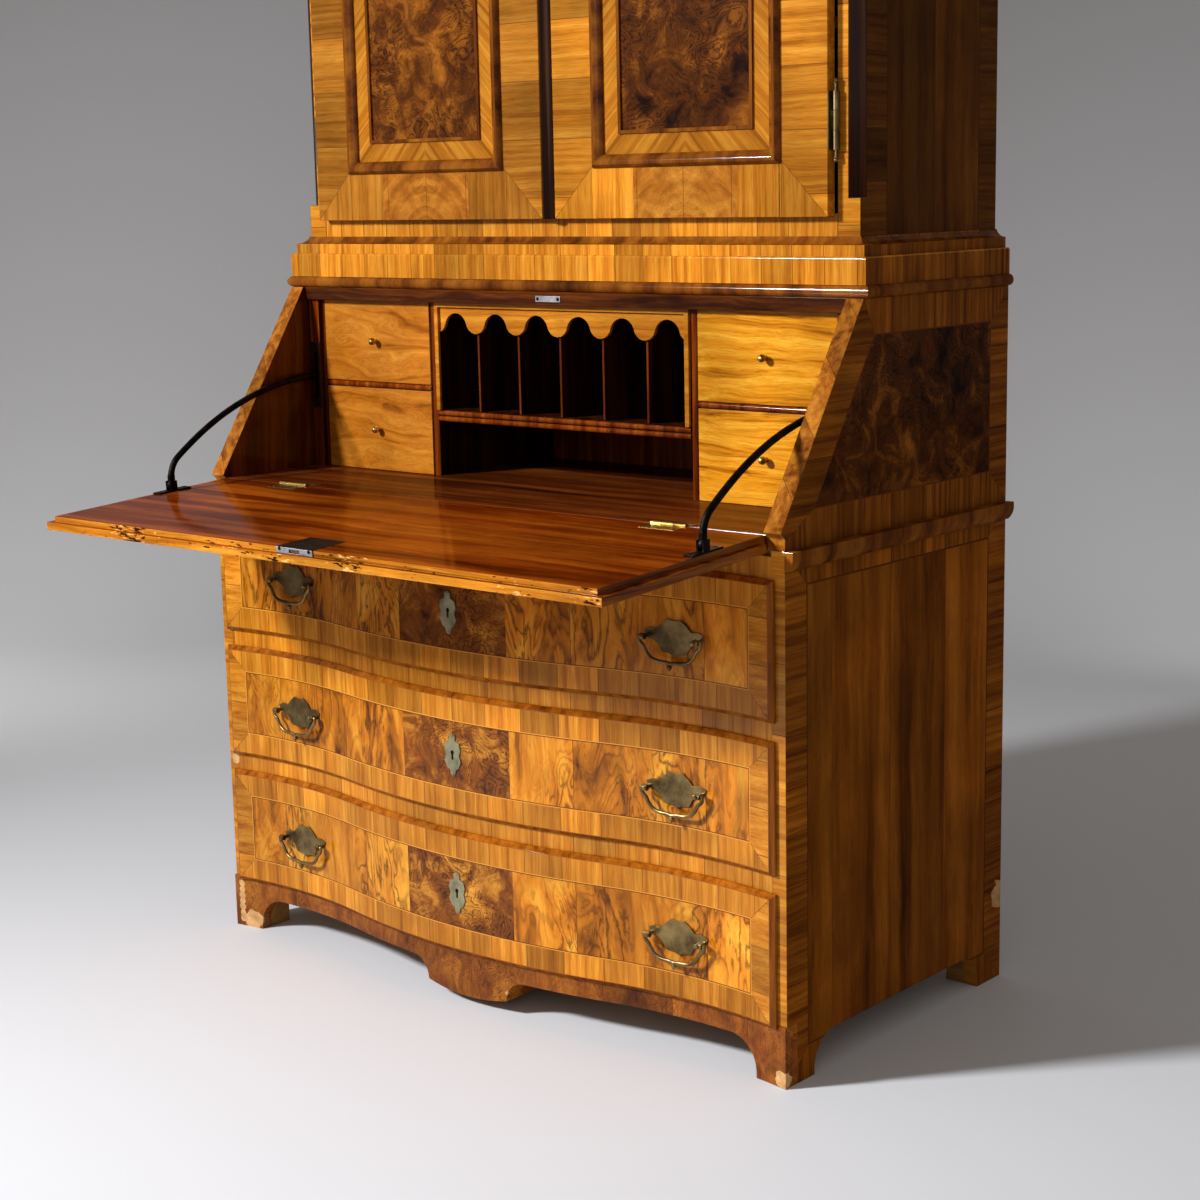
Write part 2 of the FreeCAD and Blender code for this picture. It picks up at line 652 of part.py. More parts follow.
def stay(x):
    """Iron stay: an eye at the fall, a short upright, a bend and a long curve to its head."""
    droop = math.radians(number("fall_droop_degrees"))
    foot, rise = number("stay_foot"), number("stay_pivot_rise")
    axis = Vector(x, front.value, writing_level.value)
    pivot = axis + Vector(0, -foot * math.cos(droop) - rise * math.sin(droop),
                          rise * math.cos(droop) - foot * math.sin(droop))
    bend, angle = number("stay_bend"), math.radians(number("stay_bend_degrees"))
    radius, width = number("stay_rod_radius"), number("stay_eye_width")
    begin = pivot + Vector(0, 0, number("stay_rise"))
    points = [begin] + arc_points(begin + Y_AXIS * bend, Y_AXIS * -bend, angle, BEND_STEPS)
    heading = Vector(0, math.sin(angle), math.cos(angle))
    end = axis + Vector(0, number("stay_end_back"), number("stay_end_rise"))
    chord = end - points[-1]
    swing = heading.getAngle(chord)
    sweep = chord.Length / (2 * math.sin(swing))
    arm = Vector(0, -heading.z, heading.y) * sweep
    points += arc_points(points[-1] - arm, arm, 2 * swing, SWEEP_STEPS)
    shank = Part.makeBox(width, 2 * radius, number("stay_rise") + radius,
                         pivot - Vector(width / 2, radius, 0))
    eye = Part.makeCylinder(number("stay_eye_radius"), width, pivot - X_AXIS * width / 2, X_AXIS)
    bore = Part.makeCylinder(number("stay_pin_radius") + number("pin_play"), width,
                             pivot - X_AXIS * width / 2, X_AXIS)
    knob = number("stay_head_radius")
    tail = points[-1] + (points[-1] - points[-2]).normalize() * knob
    head = wire_bar([points[-1], tail], knob)
    return modelled(eye.fuse([shank, wire_bar(points, radius), head]).cut(bore))


node("stay_left", stay(-stay_plane.value))
node("stay_right", stay(stay_plane.value))

# Gallery
gallery = place("gallery_line", front + d.gallery_setback)
gallery_end = place("gallery_end", back_face - d.gallery_rear_space)
part_in = d.centre_half_width
part_out = place("partition_out", part_in + d.partition_thickness)
bank_out = place("bank_out", desk_inner - d.bank_inset)
bank_face = place("bank_face", bank_out + d.bank_side)
bank_low = place("bank_rail_base", writing_level + d.bank_rail_level)
bank_high = place("bank_rail_top", bank_low + d.bank_rail)
shelf_low = place("shelf_base", writing_level + d.shelf_level)
shelf_high = place("shelf_top", shelf_low + d.shelf_thickness)
slot_front = place("slot_front", gallery - d.slot_board)
slot_base = place("slot_base", writing_level + d.slot_low)
slot_end = place("slot_end", writing_level + d.slot_high)
tall = (writing_level, top_under)


def rounded_upright(thickness):
    """Upright whose front edge is half round, from its own X = 0."""
    r = thickness / 2
    return put(profiled("XY", [
        (zero, gallery + r), (r, gallery, r), (thickness, gallery + r, r),
        (thickness, gallery_end), (zero, gallery_end)], top_under - writing_level),
        z=writing_level)


def rounded_shelf(x, low, thickness, count):
    """Shelf with one or more half-round beads along its front edge."""
    r = thickness / (count * 2)
    edge = [(gallery_end, zero), (gallery_end, thickness)]
    for index in reversed(range(count)):
        top = r * 2 * (index + 1)
        if index == count - 1:
            edge.append((gallery + r, top))
        edge += [(gallery, top - r, r), (gallery + r, top - r * 2, r)]
    return put(profiled("YZ", edge, x[1] - x[0]), x[0], z=low)


def with_slot(blank, x):
    """Cuts the stay's slot through a board or plate."""
    return cut(blank, board((x - d.slot_width / 2, x + d.slot_width / 2),
                            (gallery - d.overrun, gallery + d.overrun), (slot_base, slot_end)))


slot_boards = [with_slot(blank, x) for blank, x in zip(
    pair((bank_face, desk_inner), (slot_front, gallery), tall), (stay_plane, -stay_plane))]
right_partition, left_partition = [rounded_upright(d.partition_thickness) for _ in range(2)]
tie(right_partition, "Placement.Base.x", part_in)
tie(left_partition, "Placement.Base.x", -part_out)
node("gallery_carcass", right_partition, left_partition,
     *pair((bank_out, bank_face), (gallery, gallery_end), tall), *slot_boards,
     rounded_shelf((-part_in, part_in), shelf_low, d.shelf_thickness, 2),
     rounded_shelf((part_out, bank_out), bank_low, d.bank_rail, 1),
     rounded_shelf((-bank_out, -part_out), bank_low, d.bank_rail, 1),
     board((-bank_face, bank_face), (gallery_end, gallery_end + d.gallery_back), tall))

pitch = place("pigeonhole_pitch", part_in * 2 / PIGEONHOLE_COUNT)
valance_front = place("valance_front", gallery + d.valance_inset)
valance_back = place("valance_back", valance_front + d.valance_thickness)
node("pigeonhole_dividers", *[
    board((pitch * n - part_in - d.divider_thickness / 2, pitch * n - part_in
           + d.divider_thickness / 2), (valance_back, gallery_end), (shelf_high, top_under))
    for n in range(1, PIGEONHOLE_COUNT)])


def valance():
    """Board with a row of round arches between rounded drops."""
    low = top_under - d.valance_drop
    spring = low + d.pendant_rise
    reach = d.pendant_width / 2
    rise, arch = d.pendant_rise, d.arch_rise
    drop_radius = (reach * reach + rise * rise) / (rise * 2)
    chord = pitch / 2 - reach
    arch_radius = (chord * chord + arch * arch) / (arch * 2)
    outline = [(part_in, top_under), (-part_in, top_under), (-part_in, low)]
    for n in range(PIGEONHOLE_COUNT):
        start = pitch * n - part_in
        outline += [(start + reach, spring, drop_radius),
                    (start + pitch - reach, spring, -arch_radius),
                    (start + pitch, low, drop_radius)]
    return put(profiled("XZ", outline, d.valance_thickness, True), y=valance_front)


bead_front = place("bead_front", valance_front - d.frame_bead_depth)
node("pigeonhole_valance", valance(),
     board((-part_in, part_in), (bead_front, valance_front),
           (top_under - d.frame_bead, top_under)),
     *pair((part_in - d.frame_bead, part_in), (bead_front, valance_front),
           (shelf_high, top_under - d.frame_bead)))
slot_plates = [with_slot(blank, x) for blank, x in zip(
    pair((bank_face + d.fit_gap, desk_inner - d.fit_gap),
         (slot_front - d.slot_plate, slot_front),
         (slot_base - d.slot_plate_margin, slot_end + d.slot_plate_margin)),
    (stay_plane, -stay_plane))]
strike_half = d.strike_width / 2
node("desk_ironwork", *slot_plates,
     board((-strike_half, strike_half), (top_front - d.strike_thickness, top_front),
           (desk_top - d.strike_drop - d.strike_height, desk_top - d.strike_drop)))


# Gallery drawers with their knobs

# Radius and reach of the knob's turned shape, as shares of its radius and its reach.
KNOB_SHARES = ((0.7, 0.0), (0.44, 0.12), (0.44, 0.3), (0.86, 0.46), (1.0, 0.64), (0.86, 0.84),
               (0.4, 1.0))


def knob_shape():
    """Turned knob, each band of it a ring of flat faces."""
    radius, reach = number("knob_radius"), number("knob_reach")
    rings = [[Rotation(Y_AXIS, 360 * n / BAR_SIDES).multVec(X_AXIS * radius * share)
              - Y_AXIS * reach * station for n in range(BAR_SIDES)]
             for share, station in KNOB_SHARES]
    loops = [rings[0], rings[-1]]
    for near, far in zip(rings, rings[1:]):
        loops += [[near[n - 1], near[n], far[n], far[n - 1]] for n in range(BAR_SIDES)]
    faces = [Part.Face(Part.makePolygon(loop + loop[:1])) for loop in loops]
    return Part.Solid(Part.Shell(faces))


def placed(shape, placement):
    piece = modelled(shape)
    piece.Placement = placement
    return piece


def gallery_drawer(label, side, low, high):
    gap, wall = d.fit_gap, d.small_wall
    near, far = part_out + gap, bank_out - gap
    x = (near, far) if side > 0 else (-far, -near)
    face_back = gallery + d.small_front
    end = gallery_end - d.small_rear_space
    base, top = low + gap, high - gap
    rim = top - d.small_wall_drop
    inside = (x[0] + wall, x[1] - wall)
    node(label,
         board(x, (gallery, face_back), (base, top)),
         board((x[0], inside[0]), (face_back, end), (base, rim)),
         board((inside[1], x[1]), (face_back, end), (base, rim)),
         board(inside, (face_back, end - wall), (base, base + d.small_base)),
         board(inside, (end - wall, end), (base, rim)))
    middle, level = (x[0] + x[1]) / 2, (base + top) / 2
    knob = placed(knob_shape(), Placement(
        Vector(middle.value, gallery.value, level.value), Rotation()))
    node(label + "_knob", knob)


for side, word in ((-1, "left"), (1, "right")):
    gallery_drawer(f"gallery_drawer_{word}_upper", side, bank_high, top_under)
    gallery_drawer(f"gallery_drawer_{word}_lower", side, writing_level, bank_low)


# Long drawers

def drawer_front(low, high):
    """Serpentine front: a core that enters the opening and a lip that laps over its edges."""
    lap, gap = d.lip_overlap, d.slide_gap
    body = doc.addObject("PartDesign::Body", "front")
    core_half = inner - gap
    line = serpentine(lip_half, -d.drawer_proud)
    behind = serpentine(lip_half, -d.fit_gap)
    back = [behind[3][:2], behind[2][:2] + (hollow_radius,), behind[1][:2] + (-bow_radius,),
            behind[0][:2] + (hollow_radius,)]
    pad(body, "XY", line + back, high - low)
    pad(body, "XY", serpentine(core_half, -d.drawer_proud / 2)
        + flat_back(core_half, d.drawer_front_thickness), high - low - lap * 2 - play * 2,
        lap + play)
    doc.recompute()
    blank = body.Tip
    edges = [f"Edge{n}" for n, edge in enumerate(blank.Shape.Edges, 1)
             if on_lip_front(edge, high.value - low.value)]
    easing = body.newObject("PartDesign::Chamfer", "lip_easing")
    easing.Base = (blank, edges)
    tie(easing, "Size", d.lip_easing)
    return put(body, z=low)


def on_lip_front(edge, height):
    """Whether an edge bounds the front face of a drawer's lip, above, below or at an end."""
    middle = edge.valueAt((edge.FirstParameter + edge.LastParameter) / 2)
    level = min(abs(middle.z), abs(middle.z - height)) < SMALL
    upright = abs(abs(middle.x) - lip_half.value) < SMALL and abs(middle.z - height / 2) < SMALL
    return (level or upright) and abs(middle.y - front_at(middle.x)) < SMALL


def front_at(x):
    """The Y of a drawer's face at an X."""
    x = abs(x)
    if x > turning.value:
        line = hollow_line.value - hollow_depth(Size(x, "")).value
    else:
        bow = bow_radius.value
        drop = math.sqrt(bow ** 2 - x ** 2) - math.sqrt(bow ** 2 - turning.value ** 2)
        line = turning_line.value - drop
    return line - d.drawer_proud.value


def drawer_box(low, high):
    """Sides, back and bottom behind a drawer's front."""
    wall, lap = d.drawer_wall, d.lip_overlap
    outer = inner - d.slide_gap
    inside = (wall - outer, outer - wall)
    start = front + d.drawer_front_thickness
    end = back_face - d.drawer_rear_space
    base = low + lap + play
    rim = high - lap - d.drawer_wall_drop
    return (*pair((outer - wall, outer), (start, end), (base, rim)),
            board(inside, (start, end - wall), (base, base + d.drawer_base)),
            board(inside, (end - wall, end), (base, rim)))


# Right halves of the back plate and the key plate from top to foot, as shares of their half
# width and half height.
PLATE_SHARES = ((0.0, 0.92), (0.22, 1.0), (0.42, 0.7), (0.56, 0.4), (0.8, 0.44), (1.0, 0.28),
                (0.93, -0.1), (0.7, -0.2), (0.54, -0.4), (0.42, -0.82), (0.16, -0.86), (0.0, -1.0))
ESCUTCHEON_SHARES = ((0.0, 1.0), (0.34, 0.9), (0.36, 0.66), (0.84, 0.54), (1.0, 0.26), (0.82, 0.0),
                     (1.0, -0.3), (0.72, -0.6), (0.36, -0.7), (0.26, -0.92), (0.0, -1.0))


def plate_shape(shares, half_width, half_height, thickness):
    """A symmetrical plate in X and Z, from Y = 0 to the front."""
    right = [Vector(u * half_width, 0, v * half_height) for u, v in shares]
    left = [Vector(-p.x, 0, p.z) for p in reversed(right[1:-1])]
    face = Part.Face(Part.makePolygon(right + left + right[:1]))
    return face.extrude(Vector(0, -thickness, 0))


def handle_place(side, level):
    """Where a handle's plate lies on the drawer's face: on its tangent, clear of the hollow."""
    x = (half.value - number("handle_inset")) * side
    slope = (hollow_offset.value - abs(x)) / hollow_radius.value * side
    sag = number("plate_half_width") ** 2 / (2 * hollow_radius.value)
    return Placement(Vector(x, front_at(x) - sag - number("pin_play"), level),
                     Rotation(Z_AXIS, math.degrees(math.atan(slope))))


def handle_plate():
    """Back plate with the two posts that carry the bail, about the middle of its back."""
    thickness, reach = number("plate_thickness"), number("post_reach")
    plate = plate_shape(PLATE_SHARES, number("plate_half_width"), number("plate_half_height"),
                        thickness)
    radius, width = number("bail_post_radius"), number("bail_post_width")
    posts, bores = [], []
    for x in (number("bail_post_span"), -number("bail_post_span")):
        left = Vector(x - width / 2, -reach, 0)
        posts.append(wire_bar([left, left + X_AXIS * width], radius))
        posts.append(Part.makeBox(width / 2, reach, radius, left
                                  + Vector(width / 4, 0, -radius / 2)))
        bores.append(Part.makeCylinder(number("bail_pin_radius") + number("pin_play"), width, left,
                                       X_AXIS))
    return plate.fuse(posts).cut(bores)


# The bail's right half from its pin to the middle, as shares of the arm's span and the drop.
BAIL_SHARES = ((1.0, 0.0), (1.0, -0.24), (0.84, -0.36), (0.79, -0.58), (0.66, -0.82), (0.4, -0.95),
               (0.14, -0.92), (0.0, -1.0))


def bail_shape():
    """Swan-neck bail hanging from its pins, about the middle of the pins' line."""
    radius, width = number("bail_radius"), number("bail_post_width")
    span = number("bail_post_span") + width / 2 + radius + number("fit_gap")
    drop = number("bail_drop")
    right = [Vector(u * span, 0, v * drop) for u, v in BAIL_SHARES]
    top = right[0] + Z_AXIS * radius
    left = [Vector(-p.x, 0, p.z) for p in reversed([top] + right[1:-1])]
    pins = [wire_bar([Vector(side * span, 0, 0), Vector(side * number("bail_post_span"), 0, 0)],
                     number("bail_pin_radius")) for side in (1, -1)]
    return wire_bar([top] + right[1:] + left, radius).fuse(pins)


def escutcheon():
    """Key plate with its keyhole, lying on the bow."""
    thickness = number("plate_thickness")
    half_width, half_height = number("escutcheon_half_width"), number("escutcheon_half_height")
    plate = plate_shape(ESCUTCHEON_SHARES, half_width, half_height, thickness)
    hole = number("keyhole_radius")
    eye = wire_bar([Vector(0, y, hole) for y in (half_width, -half_width)], hole)
    slit = Part.makeBox(hole, half_width, hole * 3, Vector(-hole / 2, -half_width / 2, -hole * 2))
    return plate.cut([eye, slit])


def long_drawer(word, low, high):
    level = (low.value + high.value) / 2
    node(f"drawer_{word}_front", drawer_front(low, high))
    node(f"drawer_{word}_box", *drawer_box(low, high))
    node(f"drawer_{word}_brasses",
         placed(handle_plate(), handle_place(-1, level)),
         placed(handle_plate(), handle_place(1, level)),
         placed(escutcheon(), Placement(Vector(0, front_at(0) - number("pin_play"), level),
                                        Rotation())))
    for side, name in ((-1, "left"), (1, "right")):
        seat = handle_place(side, level)
        seat.Base = seat.multVec(Vector(0, -number("post_reach"), 0))
        node(f"drawer_{word}_bail_{name}", placed(bail_shape(), seat))


long_drawer("upper", upper_base, upper_top)
long_drawer("middle", middle_base, middle_top)
long_drawer("lower", d.base_level, lower_top)

# Upper cabinet
cab = place("cabinet_half_width", half - d.cabinet_inset)
cab_front = place("cabinet_front", front + d.cabinet_setback)
cab_base = place("cabinet_base", desk_top + d.desk_moulding_height)
frieze_top = place("frieze_top", cab_base + d.base_moulding_height)
door_low = place("door_low", frieze_top + d.base_rail)
door_top = place("door_top", door_low + d.door_height)
cornice_low = place("cornice_low", door_top + d.top_rail)
cab_top = place("cabinet_top", cornice_low + d.cornice_height)
cab_inner = place("cabinet_inner", cab - d.cabinet_wall)
post_inner = place("post_inner", cab - d.corner_post_width)
post_back = place("post_back", cab_front + d.cabinet_wall)
cant_low = place("cant_low", door_low + d.cant_stop)


def cabinet_side(side):
    """Side board and corner post in one, the post's corner canted above a square stop."""
    tail = [(post_inner, cab_front), (post_inner, post_back), (cab_inner, post_back),
            (cab_inner, rear), (cab, rear)]
    square = [(cab, cab_front)] + tail
    canted = [(cab, cab_front + d.cant_side), (cab - d.cant_front, cab_front)] + tail
    if side < 0:
        square = [(-x, y) for x, y in reversed(square)]
        canted = [(-x, y) for x, y in reversed(canted)]
    body = doc.addObject("PartDesign::Body", "side")
    pad(body, "XY", square, cant_low - cab_base)
    pad(body, "XY", canted, cab_top - cant_low, cant_low - cab_base)
    return put(body, z=cab_base)


node("cabinet_sides", cabinet_side(-1), cabinet_side(1))
shelf_step = place("shelf_step", (cab_top - cab_base) / (SHELF_COUNT + 1))
shelf_span, shelf_room = (-cab_inner, cab_inner), (post_back, back_face)
rail_room = (cab_front, post_back)
node("cabinet_boards",
     board(shelf_span, shelf_room, (cab_base, cab_base + d.board_thickness)),
     board(shelf_span, shelf_room, (cab_top - d.board_thickness, cab_top)),
     *[board(shelf_span, shelf_room, (cab_base + shelf_step * n,
                                      cab_base + shelf_step * n + d.shelf_board))
       for n in range(1, SHELF_COUNT + 1)],
     board((-post_inner, post_inner), rail_room, (cab_base, door_low + d.lip_overlap)),
     board((-post_inner, post_inner), rail_room, (door_top - d.lip_overlap, cab_top)))


def all_round(label, section, reach, level):
    """A mitred moulding along the cabinet's front and both sides."""
    along = put(strip(section, cab * 2, reach, (1, 1)), -cab, cab_front, level)
    node(label, along, *both_sides(section, cab, level, reach, cab_front, 1))


wide, frieze = d.base_reach, d.frieze_reach
band, top = d.base_band, d.base_moulding_height
bead = (wide - frieze) / 2
ogee = frieze - d.desk_foot_inset
all_round("cabinet_base_moulding", [
    (0, 0), (wide, 0), (wide, band - bead), (frieze + bead, band, bead), (frieze, band),
    (frieze, band + d.frieze_band), (d.desk_foot_inset, top, -ogee), (0, top)], wide, cab_base)
# The cornice's fillet, cove and cap, as shares of its reach and its height
FILLET_SHARES, COVE_SHARES, CAP_SHARE = (0.16, 0.22), (0.78, 0.74), 0.82
wide, top = d.cornice_reach, d.cornice_height
fillet_out, fillet_top = wide * FILLET_SHARES[0], top * FILLET_SHARES[1]
cove_out, cove_top = wide * COVE_SHARES[0], top * COVE_SHARES[1]
cap_low = top * CAP_SHARE
all_round("cabinet_cornice", [
    (0, 0), (fillet_out, 0), (fillet_out, fillet_top), (cove_out, cove_top, -wide),
    (cove_out, cap_low), (wide, cap_low), (wide, top), (0, top)], wide, cornice_low)
node("back_boards",
     board((-inner, inner), (back_face, rear), (floor_base, chest_top)),
     board((-desk_inner, desk_inner), (back_face, rear), (chest_top, desk_top)),
     board((-cab_inner, cab_inner), (back_face, rear), (cab_base, cab_top)))

# Doors
door_span = place("door_half_span", cab - d.door_inset)
door_back = place("door_back", cab_front - d.fit_gap)
door_face = place("door_face", door_back - d.door_thickness)
pin_out = place("door_pin_out", door_span + d.door_barrel_radius + d.door_gap * 3)
pin_line = place("door_pin_line", cab_front - d.door_barrel_radius * 2)
panel_face = place("panel_face", door_face + d.bolection_lap)


# Foot, crest and shoulder of the moulding round a panel, as shares of its height and width
BOLECTION_SHARES = (0.25, 0.55, 0.75)


def picture_frame(x, z, section, reach, y):
    """Four mitred strips about an opening, the section's height towards the front."""
    width, height = x[1] - x[0], z[1] - z[0]
    corners = ((0, x[0], z[0], width), (-90, x[1], z[0], height),
               (180, x[1], z[1], width), (90, x[0], z[1], height))
    frame = []
    for degrees, corner_x, corner_z, run in corners:
        length = strip(section, run, reach, (1, 1))
        turn(length, (X_AXIS, 90), (Y_AXIS, degrees))
        frame.append(put(length, corner_x, y, corner_z))
    return frame


def door(word, x):
    """Frame, panel and mouldings of one door between two limits."""
    inside = (x[0] + d.door_stile, x[1] - d.door_stile)
    low, high = door_low + d.door_rail, door_top - d.door_rail
    thick = (door_face, door_back)
    node(f"door_{word}_frame",
         board((x[0], inside[0]), thick, (door_low, door_top)),
         board((inside[1], x[1]), thick, (door_low, door_top)),
         board(inside, thick, (door_low, low)), board(inside, thick, (high, door_top)))
    node(f"door_{word}_panel",
         board(inside, (panel_face, panel_face + d.panel_thickness), (low, high)))
    width, lap = d.bolection_width, d.bolection_lap
    lip = lap + d.bolection_reach
    shelf = width - lap
    foot, crest, shoulder = BOLECTION_SHARES
    bolection = [(0, 0), (0, lip * foot), (width * crest, lip, -width), (width * shoulder, lip),
                 (width, lap + lap / 2, -width), (width, lap), (shelf, lap), (shelf, 0)]
    rim = (inside[0] + shelf, inside[1] - shelf)
    rim_z = (low + shelf, high - shelf)
    step = d.feather_band + d.bead_width
    bead = [(0, 0), (d.bead_width, 0), (d.bead_width, d.bead_reach), (0, d.bead_reach)]
    node(f"door_{word}_mouldings",
         *picture_frame(rim, rim_z, bolection, width, panel_face),
         *picture_frame((rim[0] + step, rim[1] - step), (rim_z[0] + step, rim_z[1] - step),
                        bead, d.bead_width, panel_face))


gap = d.astragal_gap
meeting = d.astragal_half_width
door("left", (-door_span, -meeting - gap))
door("right", (meeting, door_span))
w, h = meeting * 2, d.door_thickness + d.astragal_reach
node("door_astragal", put(profiled("XY", [
    (zero, zero), (w, zero), (w, -d.door_thickness), (w / 2, -h, -w), (zero, -d.door_thickness, -w)
    ], d.door_height), -meeting, door_back, door_low))


def door_hinge(side, level):
    """The two halves of a door's hinge: knuckles with finials and pin, and the bored knuckle."""
    x, third = pin_out * side, d.door_hinge_length / 3
    r, gap, tab = d.door_barrel_radius, d.barrel_gap, d.hinge_leaf_thickness / 2
    tip = d.door_pin_radius
    fixed = [bar(tip, third + gap * 2, x, pin_line, level + third - gap),
             bar(tip, d.finial_length, x, pin_line, level - d.finial_length),
             bar(tip, d.finial_length, x, pin_line, level + d.door_hinge_length)]
    for start in (level, level + third * 2 + gap):
        fixed.append(bar(r, third - gap, x, pin_line, start))
        fixed.append(board((x - tab, x + tab), (pin_line, cab_front), (start, start + third - gap)))
    middle = level + third
    edge = door_span * side
    leaf_out = edge + d.hinge_leaf_thickness / 2 * side
    moving = fuse(bar(r, third, x, pin_line, middle),
                  board(between(edge, x), (pin_line - tab, pin_line + tab),
                        (middle, middle + third)),
                  board(between(edge, leaf_out), (door_face, door_back),
                        (level, level + d.door_hinge_length)))
    bore = rod(d.door_pin_radius + d.pin_play, third, x, pin_line, middle)
    return fuse(*fixed), cut(moving, bore)


levels = (door_low + d.door_hinge_offset, door_top - d.door_hinge_offset - d.door_hinge_length)
left_hinges = [door_hinge(-1, level) for level in levels]
right_hinges = [door_hinge(1, level) for level in levels]
node("cabinet_hinge_leaves", *[fixed for fixed, _ in left_hinges + right_hinges])
node("door_left_hinge_leaves", *[moving for _, moving in left_hinges])
node("door_right_hinge_leaves", *[moving for _, moving in right_hinges])

# Check every object and write one file for each sub-part
doc.recompute()
for thing in doc.Objects:
    if "Invalid" in thing.State or "Error" in thing.State:
        raise ValueError(f"{thing.Label} did not build")
os.makedirs("parts", exist_ok=True)
for whole in nodes:
    if whole.Shape.isNull() or not whole.Shape.isValid() or not whole.Shape.Solids:
        raise ValueError(f"{whole.Label} has no valid solid")
    whole.Shape.exportStep(f"parts/{whole.Label}.step")
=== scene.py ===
"""Looks of the walnut escritoire: veneers, brass, iron and the studio around them."""
import json
import math

import bmesh
import bpy
from mathutils import Matrix, Vector
from mathutils.bvhtree import BVHTree

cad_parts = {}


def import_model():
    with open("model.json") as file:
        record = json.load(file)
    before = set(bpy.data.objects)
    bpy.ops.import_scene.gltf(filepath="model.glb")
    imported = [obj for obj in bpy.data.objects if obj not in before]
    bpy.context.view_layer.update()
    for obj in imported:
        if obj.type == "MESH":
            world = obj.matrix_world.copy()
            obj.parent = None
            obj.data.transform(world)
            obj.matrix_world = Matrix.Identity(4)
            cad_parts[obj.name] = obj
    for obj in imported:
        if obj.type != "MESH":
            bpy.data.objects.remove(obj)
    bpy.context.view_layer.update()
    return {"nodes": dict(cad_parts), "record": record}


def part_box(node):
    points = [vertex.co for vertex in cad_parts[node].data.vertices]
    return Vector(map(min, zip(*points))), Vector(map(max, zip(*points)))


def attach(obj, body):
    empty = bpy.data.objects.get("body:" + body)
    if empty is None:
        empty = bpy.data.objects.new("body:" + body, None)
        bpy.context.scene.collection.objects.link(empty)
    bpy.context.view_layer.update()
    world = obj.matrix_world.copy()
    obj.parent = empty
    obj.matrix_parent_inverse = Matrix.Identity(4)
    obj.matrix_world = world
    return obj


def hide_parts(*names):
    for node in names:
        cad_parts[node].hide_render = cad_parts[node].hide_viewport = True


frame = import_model()
nodes = frame["nodes"]
body_of = {node: body for body, held in frame["record"]["behaviour"]["bodies"].items() for node in held}
MM = 0.001


# Shader nodes and colours

def srgb(code):
    """A hex colour as linear red, green, blue and alpha."""
    parts = [int(code[i:i + 2], 16) / 255 for i in (1, 3, 5)]
    return [c / 12.92 if c <= 0.04045 else ((c + 0.055) / 1.055) ** 2.4 for c in parts] + [1.0]


def add(tree, kind, links=None, out=0, stops=None, **settings):
    """Adds a node with its settings, sets or links its inputs and returns one output."""
    made = tree.nodes.new(kind)
    for name, value in settings.items():
        setattr(made, name, value)
    for socket, value in (links or {}).items():
        if isinstance(value, bpy.types.NodeSocket):
            tree.links.new(value, made.inputs[socket])
        else:
            made.inputs[socket].default_value = value
    if stops:
        ramp = made.color_ramp.elements
        while len(ramp) < len(stops):
            ramp.new(0.5)
        for element, (place, code) in zip(ramp, stops):
            element.position = place
            element.color = srgb(code)
    return made.outputs[out]


def calc(tree, operation, *values):
    """One operation on numbers or outputs."""
    return add(tree, "ShaderNodeMath", dict(enumerate(values)), operation=operation)


def span(tree, value, low, high, at_low, at_high):
    """A value carried from one range to another, and held at the ends."""
    return add(tree, "ShaderNodeMapRange", {0: value, 1: low, 2: high, 3: at_low, 4: at_high})


def choose(tree, share, first, second):
    """Two numbers mixed, with a share of the second."""
    return add(tree, "ShaderNodeMix", {0: share, 2: first, 3: second})


def blend(tree, share, first, second):
    """Two colours mixed, with a share of the second."""
    return add(tree, "ShaderNodeMix", {0: share, 6: first, 7: second}, out=2, data_type="RGBA")


def times(tree, colour, light):
    """A colour made lighter or darker."""
    return add(tree, "ShaderNodeVectorMath", {0: colour, 1: light}, operation="MULTIPLY")


def toned(tree, value, places, tones):
    """The dark, middle and light tone of a material, laid along a value."""
    return add(tree, "ShaderNodeValToRGB", {0: value}, stops=tuple(zip(places, tones)))


def noise(tree, place, scale, detail, stretch=None, out=0, **more):
    """Clouds, so many to the metre, or so many along each axis where stretch is given."""
    if stretch:
        place = add(tree, "ShaderNodeMapping", {"Vector": place, "Scale": stretch})
    return add(tree, "ShaderNodeTexNoise", {"Vector": place, "Scale": scale, "Detail": detail, **more},
               out=out)


def spot_of(tree, x, y, z):
    """Three coordinates as one place."""
    return add(tree, "ShaderNodeCombineXYZ", {0: x, 1: y, 2: z})


def distance(tree, place, spot):
    """How far a place is from a fixed spot."""
    return add(tree, "ShaderNodeVectorMath", {0: place, 1: spot}, operation="DISTANCE", out="Value")


def off_middle(tree, coordinate, middle):
    """How far a coordinate lies to either side of a middle."""
    return calc(tree, "ABSOLUTE", calc(tree, "SUBTRACT", coordinate, middle))


def from_edge(tree, coordinate, low, high):
    """How far a coordinate lies inside the nearer of two limits."""
    return calc(tree, "SUBTRACT", (high - low) / 2, off_middle(tree, coordinate, (low + high) / 2))


def split(tree):
    """The place on the object, whole and as its three coordinates."""
    place = add(tree, "ShaderNodeTexCoord", out="Object")
    return place, add(tree, "ShaderNodeSeparateXYZ", {0: place}).node.outputs


def material(name):
    """A new material with its tree emptied, and its surface shader."""
    made = bpy.data.materials.new(name)
    made.use_nodes = True
    tree = made.node_tree
    tree.nodes.clear()
    shader = tree.nodes.new("ShaderNodeBsdfPrincipled")
    target = tree.nodes.new("ShaderNodeOutputMaterial")
    tree.links.new(shader.outputs[0], target.inputs[0])
    return made, tree, shader


# Pieces made from the CAD nodes

